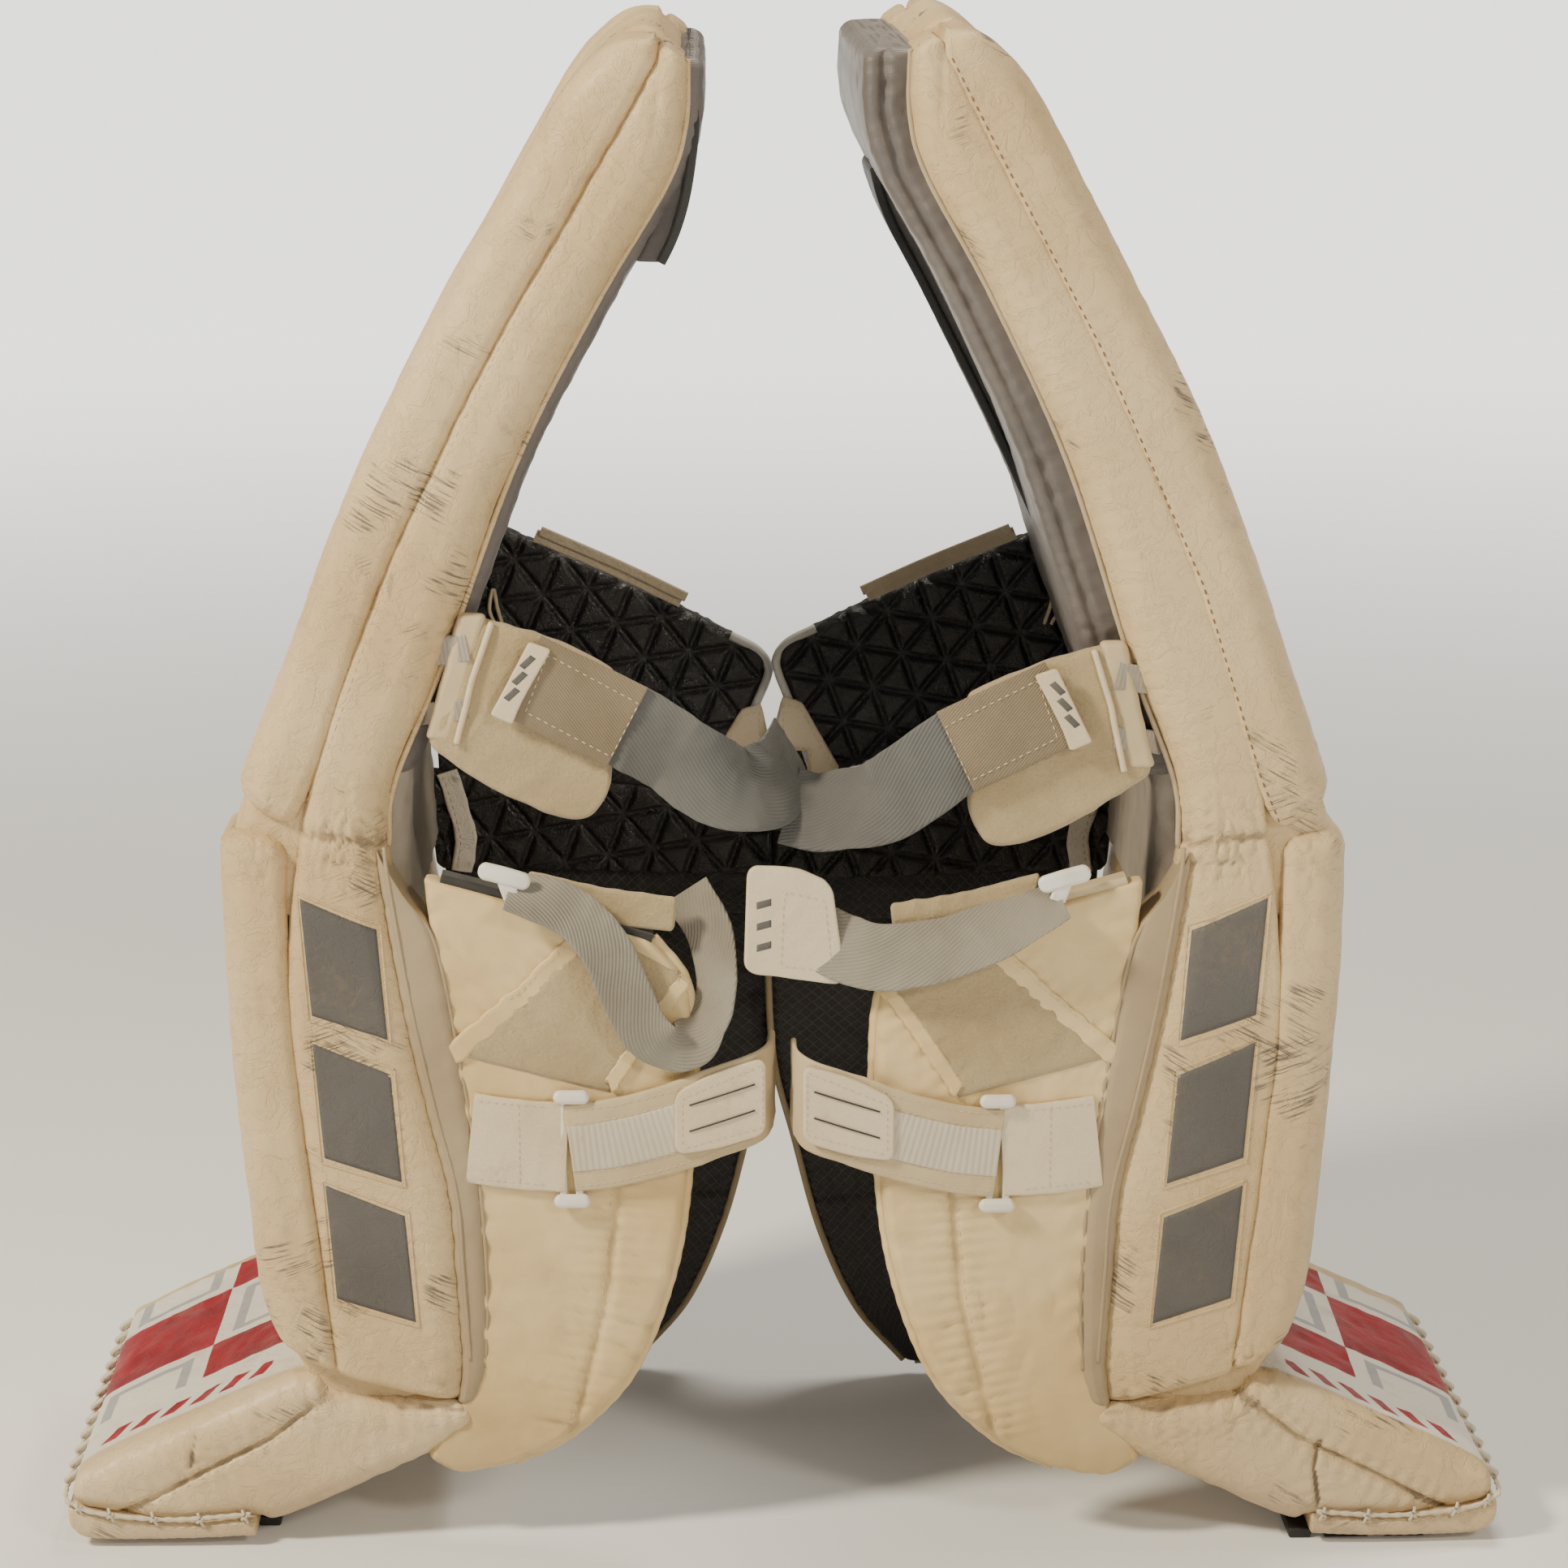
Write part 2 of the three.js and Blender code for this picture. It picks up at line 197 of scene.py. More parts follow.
def sweep(origin, across, depth, width, near, far, radii, ends, dist, counts, relief):
    """Closed tube of rounded rectangles. Each has a corner, two directions, a width and a depth range."""
    face, edge, arc = counts
    plan = rounding(dist, *ends)
    thin = rounding(dist, *(min(e, 0.45 * (far - near)) for e in ends))
    rings, flat = [], []
    for k, inset in enumerate(plan):
        w, n, f = max(width[k] - 2 * inset, 0.6), near + thin[k], far - thin[k]
        r = [min(v, 0.49 * w, 0.49 * (f - n)) for v in radii]
        ring, normals = [], []

        def corner(cx, cy, radius, start):
            for q in range(1, arc):
                angle = math.radians(start + 90 * q / arc)
                ring.append((cx + radius * math.cos(angle), cy + radius * math.sin(angle)))
                normals.append((math.cos(angle), math.sin(angle)))

        def side(a, b, count, normal):
            for q in np.linspace(0, 1, count):
                ring.append((a[0] + (b[0] - a[0]) * q, a[1] + (b[1] - a[1]) * q))
                normals.append(normal)

        side((r[0], n), (w - r[1], n), face, (0, -1))
        corner(w - r[1], n + r[1], r[1], -90)
        side((w, n + r[1]), (w, f - r[2]), edge, (1, 0))
        corner(w - r[2], f - r[2], r[2], 0)
        side((w - r[2], f), (r[3], f), face, (0, 1))
        corner(r[3], f - r[3], r[3], 90)
        side((0, f - r[3]), (0, n + r[0]), edge, (-1, 0))
        corner(r[0], n + r[0], r[0], 180)
        rings.append(np.array(ring) + ((width[k] - w) / 2, 0))
        flat.append(normals)
    rings, flat = np.stack(rings), np.array(flat, float)
    p = origin[:, None] + rings[..., :1] * across[:, None] + rings[..., 1:] * depth[:, None]
    normal = flat[..., :1] * across[:, None] + flat[..., 1:] * depth[:, None]
    raised = np.zeros(rings.shape[:2])
    if relief is not None:
        s = rings[..., 0] / width[:, None]
        t = np.broadcast_to((dist / dist[-1])[:, None], s.shape)
        fade = 1 - np.clip(thin / (0.3 * (far - near)), 0, 0.8)
        raised = relief(p, normal, s, t) * fade[:, None]
        p = p + normal * raised[..., None]
    count, size = rings.shape[:2]
    loop = np.vstack([rings[count // 2], rings[count // 2][:1]])
    girth = np.r_[0, np.cumsum(np.linalg.norm(np.diff(loop, axis=0), axis=1))] * MM
    verts = np.vstack([p.reshape(-1, 3), p[0].mean(0), p[-1].mean(0)])
    faces, uvs = [], []
    for k in range(count - 1):
        a, b = k * size, (k + 1) * size
        v0, v1 = dist[k] * MM, dist[k + 1] * MM
        for j in range(size):
            m = (j + 1) % size
            faces.append((a + j, a + m, b + m, b + j))
            uvs += [(girth[j], v0), (girth[j + 1], v0), (girth[j + 1], v1), (girth[j], v1)]
    GROOVES[id(verts)] = (verts, np.r_[hollows(raised, p).ravel(), 0, 0])
    first, last, top, v1 = len(verts) - 2, len(verts) - 1, (count - 1) * size, dist[-1] * MM
    for j in range(size):
        m = (j + 1) % size
        faces += [(first, m, j), (last, top + j, top + m)]
        uvs += [(girth[j], -0.002), (girth[j + 1], 0), (girth[j], 0)]
        uvs += [(girth[j], v1 + 0.002), (girth[j], v1), (girth[j + 1], v1)]
    return verts, faces, uvs


def slab(
    back, front, near, far, radii=(4, 4, 4, 4), ends=(4, 4), count=60, counts=(18, 8, 4), relief=None
):
    """A padded plate between two side outlines in the XZ plane, from y near to y far."""
    back, front = spline(back), spline(front)
    length = sum(np.linalg.norm(np.diff(c, axis=0), axis=1).sum() for c in (back, front)) / 2
    dist = stations(length, ends, far - near, count)
    at = np.linspace(0, length, len(back))
    b, f = (np.stack([np.interp(dist, at, c[:, k]) for k in (0, 1)], 1) for c in (back, front))
    width = np.maximum(np.linalg.norm(f - b, axis=1), 0.5)
    unit = (f - b) / width[:, None]
    nothing = np.zeros(len(b))
    origin = np.stack([b[:, 0], nothing, b[:, 1]], 1)
    across = np.stack([unit[:, 0], nothing, unit[:, 1]], 1)
    depth = np.tile([0.0, 1.0, 0.0], (len(b), 1))
    return sweep(origin, across, depth, width, near, far, radii, ends, dist, counts, relief)


def band(
    points, width, thick, facing=None, ends=(0.4, 0.4), count=70, counts=(14, 2, 2), relief=None,
    edge=None
):
    """A strap along 3-D points. Its width stays upright, or its face turns to one vector or more."""
    line = spline(points, 200)
    length = np.linalg.norm(np.diff(line, axis=0), axis=1).sum()
    dist = stations(length, ends, thick, count)
    at = np.linspace(0, length, len(line))
    centre = np.stack([np.interp(dist, at, line[:, k]) for k in range(3)], 1)
    along = np.gradient(centre, dist, axis=0)
    along /= np.linalg.norm(along, axis=1, keepdims=True)
    if facing is None:
        normal = np.stack([along[:, 1], -along[:, 0], np.zeros(len(dist))], 1)
    else:
        facing = np.atleast_2d(np.asarray(facing, float))
        spread = np.linspace(0, length, len(facing))
        facing = np.stack([np.interp(dist, spread, facing[:, k]) for k in range(3)], 1)
        normal = facing - along * (along * facing).sum(1)[:, None]
    normal /= np.linalg.norm(normal, axis=1, keepdims=True)
    side = np.cross(normal, along)
    wide = np.interp(dist, np.linspace(0, length, np.size(width)), np.atleast_1d(width).astype(float))
    r = thick * 0.45 if edge is None else edge
    origin = centre - side * wide[:, None] / 2
    return sweep(
        origin, side, normal, wide, -thick / 2, thick / 2, (r, r, r, r), ends, dist, counts, relief)


GIRTH_UV = 0.01  # how much of the texture goes once round a cord


def tube(points, radius, sides=8, count=60, wobble=0.0):
    """A round cord along 3-D points, closed at both ends."""
    line = spline(points, count)
    along = np.gradient(line, axis=0)
    along /= np.linalg.norm(along, axis=1, keepdims=True)
    up = np.array([0.31, 0.22, 0.93])
    side = np.cross(along, up)
    side /= np.linalg.norm(side, axis=1, keepdims=True)
    top = np.cross(side, along)
    angle = np.linspace(0, 2 * math.pi, sides, endpoint=False)
    r = radius * (1 + wobble * np.sin(np.arange(count)))[:, None, None]
    cos, sin = (f(angle)[None, :, None] for f in (np.cos, np.sin))
    rings = line[:, None] + r * (cos * side[:, None] + sin * top[:, None])
    verts = np.vstack([rings.reshape(-1, 3), line[0], line[-1]])
    faces, uvs = [], []
    step = np.linalg.norm(np.diff(line, axis=0), axis=1).mean() * MM
    for k in range(count - 1):
        a, b, v = k * sides, (k + 1) * sides, k * step
        for j in range(sides):
            m = (j + 1) % sides
            faces.append((a + j, a + m, b + m, b + j))
            u = j / sides * GIRTH_UV
            w = u + GIRTH_UV / sides
            uvs += [(u, v), (w, v), (w, v + step), (u, v + step)]
    first, last, top = len(verts) - 2, len(verts) - 1, (count - 1) * sides
    for j in range(sides):
        m = (j + 1) % sides
        faces += [(first, m, j), (last, top + j, top + m)]
        uvs += [(0, 0)] * 6
    return verts, faces, uvs


def holed_plate(outline, hole, near, far, spokes=96, rings=6):
    """A flat plate with rounded rims, with a hole that its middle sees all round."""
    middle = np.mean(hole, 0)

    def reach(polygon, direction):
        best = 1e9
        for a, b in zip(np.array(polygon, float), np.array(polygon[1:] + polygon[:1], float)):
            grid = np.array([direction, a - b]).T
            if abs(np.linalg.det(grid)) > 1e-9:
                distance, share = np.linalg.solve(grid, a - middle)
                if distance > 0 and -1e-6 <= share <= 1 + 1e-6:
                    best = min(best, distance)
        return best

    profile = [(0, 0.5), (0.02, 0.12)]
    profile += [(0.02 + 0.96 * k / rings, 0.0) for k in range(1, rings)]
    profile += [(0.98, 0.12), (1, 0.5)]
    profile += [(u, 1 - v) for u, v in profile[::-1][1:-1]]
    verts, uvs, faces, size = [], [], [], len(profile)
    for q in range(spokes):
        angle = 2 * math.pi * q / spokes
        direction = np.array((math.cos(angle), math.sin(angle)))
        inner, outer = reach(hole, direction), reach(outline, direction)
        for u, v in profile:
            x, z = middle + direction * (inner + (outer - inner) * u)
            verts.append((x, near + (far - near) * v, z))
    for q in range(spokes):
        here, there = q * size, (q + 1) % spokes * size
        for k in range(size):
            m = (k + 1) % size
            faces.append((here + k, there + k, there + m, here + m))
            uvs += [(verts[i][0] * MM, verts[i][2] * MM) for i in faces[-1]]
    return np.array(verts), faces, uvs


def joined(*solids):
    """Several solids as one."""
    verts, faces, uvs, start = [], [], [], 0
    for v, f, u in solids:
        verts.append(v)
        faces += [tuple(i + start for i in face) for face in f]
        uvs += u
        start += len(v)
    return np.vstack(verts), faces, uvs


TREES = {}  # by the id of a solid: the solid, kept alive, and its search tree
RAY_START = -190  # outside everything on the strap side


def drop(solid, x, z):
    """Where a ray from the strap side first meets a solid, with the normal there that faces the ray."""
    key = id(solid)
    if key not in TREES:
        TREES[key] = (solid, BVHTree.FromPolygons([Vector(v) for v in solid[0]], solid[1]))
    toward = Vector((0, 1, 0))
    hit, normal, _, _ = TREES[key][1].ray_cast(Vector((x, RAY_START, z)), toward)
    if hit is None:
        return None
    return np.array(hit), np.array(normal if normal.dot(toward) < 0 else -normal)


def on_surface(solid, line, lift=0.0, count=120):
    """An (x, z) line dropped onto a solid along Y, as 3-D points."""
    hits = [drop(solid, x, z) for x, z in resample(line, count)]
    return np.array([p + lift * n for p, n in (h for h in hits if h)])


PATCH_ROOT = 0.6  # how deep a patch is rooted in what it lies on


def patch(solid, corners, thick, cells=(20, 14)):
    """A thin plate with four corners in XZ, laid on a solid. It is thinner at its rim."""
    a, b, c, d = (np.array(v, float) for v in corners)
    n, m = cells
    top, low, previous = [], [], drop(solid, *((a + b + c + d) / 4))
    for i in range(n + 1):
        for k in range(m + 1):
            u, v = i / n, k / m
            x, z = (a * (1 - u) + b * u) * (1 - v) + (d * (1 - u) + c * u) * v
            previous = drop(solid, x, z) or previous
            point, normal = previous
            point = np.array((x, point[1], z))
            at_rim = i in (0, n) or k in (0, m)
            top.append(point + normal * thick * (0.35 if at_rim else 1))
            low.append(point - normal * PATCH_ROOT)
    verts = np.array(top + low)
    size = (n + 1) * (m + 1)
    lengths = np.linalg.norm(b - a) * MM, np.linalg.norm(d - a) * MM
    faces, uvs = [], []

    def uv(index):
        i, k = divmod(index % size, m + 1)
        return i / n * lengths[0], k / m * lengths[1]

    def face(*indices):
        faces.append(indices)
        uvs.extend(uv(q) for q in indices)

    for i in range(n):
        for k in range(m):
            q = i * (m + 1) + k
            face(q, q + 1, q + m + 2, q + m + 1)
            face(size + q, size + q + m + 1, size + q + m + 2, size + q + 1)
    rim = list(range(m + 1)) + [i * (m + 1) + m for i in range(1, n + 1)]
    rim += [n * (m + 1) + k for k in range(m - 1, -1, -1)]
    rim += [i * (m + 1) for i in range(n - 1, 0, -1)]
    for q, r in zip(rim, rim[1:] + rim[:1]):
        face(r, q, size + q, size + r)
    return verts, faces, uvs


def stitches(points, length=3.4, gap=2.0, radius=0.42):
    """A row of thread stitches along 3-D points."""
    steps = np.r_[0, np.cumsum(np.linalg.norm(np.diff(points, axis=0), axis=1))]
    solids = []
    at = gap
    while at + length < steps[-1]:
        ends = np.array([at, at + length])
        a, b = np.stack([np.interp(ends, steps, points[:, k]) for k in range(3)], 1)
        d = (b - a) / np.linalg.norm(b - a)
        side = np.cross(d, (0.3, 0.9, 0.2))
        side /= np.linalg.norm(side)
        top = np.cross(side, d)
        rings, faces = [], []
        for share, size in ((0.0, 0.25), (0.18, 0.9), (0.82, 0.9), (1.0, 0.25)):
            for q in range(6):
                t = q * math.pi / 3
                spoke = math.cos(t) * side + math.sin(t) * top
                rings.append(a + (b - a) * share + radius * size * spoke)
        for k in (0, 6, 12):
            for j in range(6):
                m = (j + 1) % 6
                faces.append((k + j, k + m, k + 6 + m, k + 6 + j))
        faces += [(5, 4, 3, 2, 1, 0), (18, 19, 20, 21, 22, 23)]
        solids.append((np.array(rings), faces, [(0, 0)] * (18 * 4 + 12)))
        at += length + gap
    return joined(*solids)


# ---------------------------------------------------------------- placing

# The bodies whose pieces are drawn in the frame of the thigh rise; the rest use the shin's.
PARTS = {"thigh": "thigh", "wing": "thigh", "knee_strap_body": "thigh"}


def to_row(side, part, verts):
    """Pad millimetres to the row frame. The part "leg" goes over from the shin to the thigh rise."""
    shin_matrix, thigh_matrix = pad_matrix(side, "shin"), pad_matrix(side, "thigh")
    share = {"shin": 0.0, "thigh": 1.0}
    placed = []
    for v in verts:
        t = share.get(part, min(max((v[2] - KNEE_LOW) / (KNEE_HIGH - KNEE_LOW), 0), 1))
        t = t * t * (3 - 2 * t)
        placed.append((shin_matrix @ Vector(v)).lerp(thigh_matrix @ Vector(v), t))
    return placed


def put(name, solid, material, replaces=(), fill=None, slot=None, part=None, *, side, body=None):
    """Makes one Blender piece of one pad, in the row frame. Without a body, it is left unattached."""
    verts, faces, uvs = solid
    label = f"{side}_{name}_skin" if name in replaces else f"{side}_{name}"
    mesh = bpy.data.meshes.new(label)
    mesh.from_pydata(to_row(side, part or PARTS.get(body, "shin"), verts), [], faces)
    layer = mesh.uv_layers.new(name="lie")
    layer.data.foreach_set("uv", np.array(uvs, np.float32).ravel())
    if id(verts) in GROOVES:
        mesh.attributes.new("groove", "FLOAT", "POINT").data.foreach_set(
            "value", GROOVES[id(verts)][1].astype(np.float32))
    if side == "left":
        mesh.flip_normals()
    mesh.polygons.foreach_set("use_smooth", [True] * len(mesh.polygons))
    mesh.materials.append(material)
    piece = bpy.data.objects.new(label, mesh)
    bpy.context.scene.collection.objects.link(piece)
    if body:
        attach(piece, f"{side}_{body}")
    if replaces:
        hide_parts(*[f"{side}_{node}" for node in replaces])
    return piece


# ---------------------------------------------------------------- materials


class Shade:
    """Builds one procedural material. Lengths are in metres, in the row frame at rest."""

    def __init__(self, name):
        self.material = bpy.data.materials.new(name)
        self.material.use_nodes = True
        self.tree = self.material.node_tree
        self.bsdf = self.tree.nodes["Principled BSDF"]
        coordinates = self.add("TexCoord")
        self.place, self.uv = coordinates.outputs["Object"], coordinates.outputs["UV"]
        self.x, self.y, self.z = self.add_fed("SeparateXYZ", self.place).outputs
        self.across, self.along, _ = self.add_fed("SeparateXYZ", self.uv).outputs
        self.normal = None

    def add(self, kind, **settings):
        node = self.tree.nodes.new("ShaderNode" + kind)
        for key, value in settings.items():
            setattr(node, key, value)
        return node

    def feed(self, socket, value):
        if isinstance(value, bpy.types.NodeSocket):
            self.tree.links.new(value, socket)
        else:
            socket.default_value = value

    def add_fed(self, kind, *values, **settings):
        node = self.add(kind, **settings)
        for socket, value in zip(node.inputs, values):
            if value is not None:
                self.feed(socket, value)
        return node

    def math(self, operation, a, b=0.0):
        return self.add_fed("Math", a, b, operation=operation).outputs[0]

    def times(self, a, *others):
        for b in others:
            a = self.math("MULTIPLY", a, b)
        return a

    def plus(self, a, b):
        return self.math("ADD", a, b)

    def minus(self, a, b):
        return self.math("SUBTRACT", a, b)

    def scaled(self, vector, scale, turn=(0, 0, 0), shift=(0, 0, 0)):
        node = self.add("Mapping")
        for name, value in (
            ("Vector", vector), ("Location", shift), ("Rotation", turn), ("Scale", scale)
        ):
            self.feed(node.inputs[name], value)
        return node.outputs[0]

    def noise(self, scale, detail=4.0, roughness=0.55, vector=None, distortion=0.0):
        node = self.add("TexNoise")
        numbers = {
            "Vector": vector or self.place, "Scale": scale, "Detail": detail, "Roughness": roughness,
            "Distortion": distortion}
        for name, value in numbers.items():
            self.feed(node.inputs[name], value)
        return node.outputs[0]

    def cell_edges(self, scale):
        node = self.add("TexVoronoi", feature="DISTANCE_TO_EDGE")
        self.feed(node.inputs["Vector"], self.place)
        self.feed(node.inputs["Scale"], scale)
        return node.outputs["Distance"]

    def stripes(self, value, pitch):
        """A wave from 0 to 1 that repeats every `pitch` metres of a coordinate."""
        wave = self.math("SINE", self.times(value, 2 * math.pi / pitch))
        return self.plus(self.times(wave, 0.5), 0.5)

    def step(self, value, low, high):
        node = self.add("MapRange", interpolation_type="SMOOTHSTEP")
        for name, number in (("Value", value), ("From Min", low), ("From Max", high)):
            self.feed(node.inputs[name], number)
        return node.outputs[0]

    def spots(self, low, high, *numbers):
        """A noise turned into soft spots between two levels."""
        return self.step(self.noise(*numbers), low, high)

    def mix(self, factor, a, b):
        node = self.add("Mix", data_type="RGBA")
        for socket, value in ((node.inputs[0], factor), (node.inputs[6], a), (node.inputs[7], b)):
            self.feed(socket, (*value, 1) if isinstance(value, tuple) else value)
        return node.outputs[2]

    def bump(self, height, distance, strength=1.0):
        node = self.add("Bump")
        for name, value in (("Height", height), ("Distance", distance), ("Strength", strength)):
            self.feed(node.inputs[name], value)
        if self.normal:
            self.feed(node.inputs["Normal"], self.normal)
        self.normal = node.outputs[0]

    def hollow_soil_and_shade(self, color, soil_and_shade, amount=0.75):
        """Painted shade and soiling in the hollows of a piece: darkens them, more in some places than in
        others.
        """
        node = self.add("Attribute", attribute_name="groove")
        depth = self.step(node.outputs["Fac"], 0.15, 1.3)
        uneven = self.spots(0.25, 0.65, 34, 4)
        return self.mix(self.times(depth, self.times(uneven, amount)), color, soil_and_shade)

    def finish(self, color, roughness, **numbers):
        self.feed(self.bsdf.inputs["Base Color"], (*color, 1) if isinstance(color, tuple) else color)
        self.feed(self.bsdf.inputs["Roughness"], roughness)
        if self.normal:
            self.feed(self.bsdf.inputs["Normal"], self.normal)
        for name, value in numbers.items():
            self.feed(self.bsdf.inputs[name.replace("_", " ")], value)
        return self.material


def darker(base, share, warmth=(1, 1, 1)):
    return tuple(share * c * f for c, f in zip(base, warmth))


def grain_bumps(shade, size=0.0011, depth=0.00016, wrinkle=0.0006):
    """Pebbled synthetic leather with fine creases."""
    shade.bump(shade.step(shade.cell_edges(1 / size), 0.0, 0.22), depth, 0.7)
    shade.bump(shade.noise(900, 3), depth, 0.5)
    ridges = shade.math("ABSOLUTE", shade.minus(shade.noise(70, 5, 0.6, distortion=0.6), 0.5))
    shade.bump(shade.step(ridges, 0.0, 0.06), wrinkle, 0.55)


def worn_color(shade, base, tint, soil_and_shade, scuff, scuff_level):
    """Leather colour: soft stains, smudges in patches, and short dark scuffs made of fine lines."""
    color = shade.mix(shade.spots(0.35, 0.7, 7, 3), base, tint)
    smudge = shade.times(shade.spots(0.52, 0.75, 16, 6, 0.65), shade.spots(0.3, 0.75, 240, 4))
    color = shade.mix(shade.times(smudge, 0.5), color, soil_and_shade)
    pores = shade.times(shade.spots(0.62, 0.74, 1300, 2), 0.22)
    color = shade.mix(pores, color, soil_and_shade)
    for seed, turn in ((3.1, 0.35), (8.7, -0.5)):
        moved = shade.scaled(shade.place, (1, 1, 1), (0, turn, 0), (seed, seed, 0))
        zone = shade.step(shade.noise(17, 3, 0.5, moved), scuff_level, scuff_level + 0.06)
        lines = shade.step(shade.noise(1, 3, 0.6, shade.scaled(moved, (45, 45, 900))), 0.5, 0.62)
        color = shade.mix(shade.times(zone, lines, 0.8), color, scuff)
    streak = shade.step(
        shade.noise(1, 2, 0.5, shade.scaled(shade.place, (30, 30, 6), (0.2, 0.5, 0))), 0.715, 0.73)
    return shade.mix(shade.times(streak, 0.35), color, scuff)


LEATHER = (0.69, 0.53, 0.31)
LEATHER_AGED = (0.585, 0.425, 0.225)
DIRT = (0.27, 0.19, 0.11)
PRINT_WHITE = (0.80, 0.765, 0.70)
THREAD = 0.0009  # spacing of the threads in woven cloth
CELL = (0.070, 0.092)  # one diamond of the boot's lattice
SCUFF = (0.07, 0.065, 0.06)


def leather(name, base=LEATHER, tint=LEATHER_AGED, scuff_level=0.605, rough=0.46, wrinkle=0.0006):
    shade = Shade(name)
    grain_bumps(shade, wrinkle=wrinkle)
    # The second colour darkens the hollows with painted shade and soiling.
    color = shade.hollow_soil_and_shade(worn_color(shade, base, tint, DIRT, SCUFF, scuff_level), (0.20, 0.135, 0.075))
    gloss = shade.plus(shade.times(shade.noise(30, 5), 0.24), rough - 0.12)
    return shade.finish(color, gloss, Specular_IOR_Level=0.45, Coat_Weight=0.06, Coat_Roughness=0.35)


def boot_leather():
    """White leather with a red and grey lattice of diamonds on top, and soiling towards the sole."""
    shade = Shade("boot_leather")
    grain_bumps(shade, depth=0.0001, wrinkle=0.0005)
    color = worn_color(shade, (0.69, 0.545, 0.35), (0.59, 0.44, 0.245), DIRT, SCUFF, 0.63)
    reach = shade.math("ABSOLUTE", shade.x)
    p = shade.math("DIVIDE", shade.minus(reach, 0.332), CELL[0])
    q = shade.math("DIVIDE", shade.plus(shade.y, 0.016), CELL[1])
    parity = shade.plus(shade.math("FLOOR", p), shade.plus(shade.math("FLOOR", q), 20))
    red_cell = shade.minus(1, shade.math("MODULO", parity, 2))
    rims = []
    for share, size in zip((p, q), CELL):
        off_middle = shade.math("ABSOLUTE", shade.minus(shade.math("FRACT", share), 0.5))
        rims.append(shade.times(shade.minus(0.5, off_middle), size))
    rim = shade.math("MINIMUM", *rims)
    outline = shade.times(shade.step(rim, 0.0095, 0.0100), shade.step(rim, 0.0165, 0.0160))
    red = shade.mix(shade.spots(0.4, 0.7, 40, 4), (0.34, 0.002, 0.009), (0.23, 0.004, 0.010))
    art = shade.mix(outline, PRINT_WHITE, (0.40, 0.41, 0.43))
    art = shade.mix(red_cell, art, red)
    smears = shade.times(shade.spots(0.5, 0.8, 32, 6, 0.7), 0.4)
    art = shade.mix(smears, art, (0.30, 0.24, 0.19))
    top_line = shade.minus(0.069, shade.times(shade.minus(reach, 0.25), 0.27))
    on_top = shade.step(shade.minus(shade.z, top_line), -0.001, 0.001)
    within = shade.times(shade.step(shade.y, -0.0675, -0.067), shade.step(shade.y, 0.1205, 0.12))
    white_ground = shade.times(shade.step(shade.y, -0.1185, -0.114), shade.step(shade.y, 0.1205, 0.12))
    ground = shade.mix(smears, PRINT_WHITE, (0.44, 0.35, 0.26))
    color = shade.mix(shade.times(on_top, white_ground), color, ground)
    color = shade.mix(shade.times(on_top, within), color, art)
    bars = shade.step(shade.stripes(shade.plus(reach, shade.times(shade.y, 0.5)), 0.017), 0.42, 0.5)
    row = shade.times(shade.step(shade.y, -0.1085, -0.108), shade.step(shade.y, -0.0915, -0.092))
    row = shade.times(row, shade.times(shade.step(reach, 0.287, 0.288), shade.step(reach, 0.386, 0.385)))
    color = shade.mix(shade.times(bars, row, on_top), color, red)
    height = shade.plus(shade.z, shade.times(shade.minus(0.4, reach), -0.26))
    low = shade.step(shade.plus(height, shade.times(shade.noise(28, 5), 0.03)), 0.03, 0.006)
    color = shade.mix(shade.times(low, 0.45), color, (0.42, 0.31, 0.20))
    # The hollows are darkened with painted shade and soiling.
    color = shade.hollow_soil_and_shade(color, (0.16, 0.11, 0.065), 0.9)
    gloss = shade.plus(shade.times(shade.noise(35, 5), 0.3), 0.26)
    return shade.finish(color, gloss, Specular_IOR_Level=0.5, Coat_Weight=0.12, Coat_Roughness=0.3)


def woven(name, base, tint, stain, rough, sheen=0.15, creases=0.0009):
    """Woven cloth: two sets of threads, creases and stains, with painted shade and soiling in the hollows
    and towards the bottom.
    """
    shade = Shade(name)
    warp, weft = shade.stripes(shade.across, THREAD), shade.stripes(shade.along, THREAD)
    shade.bump(shade.times(warp, weft), 0.0002, 0.6)
    shade.bump(shade.noise(26, 3, 0.5, distortion=0.5), creases * 5, 0.45)
    shade.bump(shade.noise(1, 3, 0.5, shade.scaled(shade.place, (40, 40, 130))), creases, 0.4)
    color = shade.mix(shade.spots(0.3, 0.75, 9, 4), base, tint)
    spots = shade.times(shade.spots(0.5, 0.8, 22, 5, 0.65), stain)
    color = shade.mix(spots, color, darker(base, 0.55, (1.0, 0.86, 0.66)))
    # Painted shade and soiling in the hollows of the cloth.
    color = shade.hollow_soil_and_shade(color, darker(base, 0.35, (1.0, 0.8, 0.55)), 0.6)
    # Painted shade and soiling: darker towards the bottom, below about 0.17 m up.
    low = shade.step(shade.plus(shade.z, shade.times(shade.noise(14, 5), 0.08)), 0.17, 0.05)
    color = shade.mix(shade.times(low, 0.5), color, darker(base, 0.5, (1.0, 0.88, 0.72)))
    threads = shade.times(warp, weft, 0.12)
    color = shade.mix(threads, color, darker(base, 0.7))
    return shade.finish(
        color, shade.plus(shade.times(shade.noise(60), 0.2), rough - 0.1), Sheen_Weight=sheen,
        Sheen_Roughness=0.5)


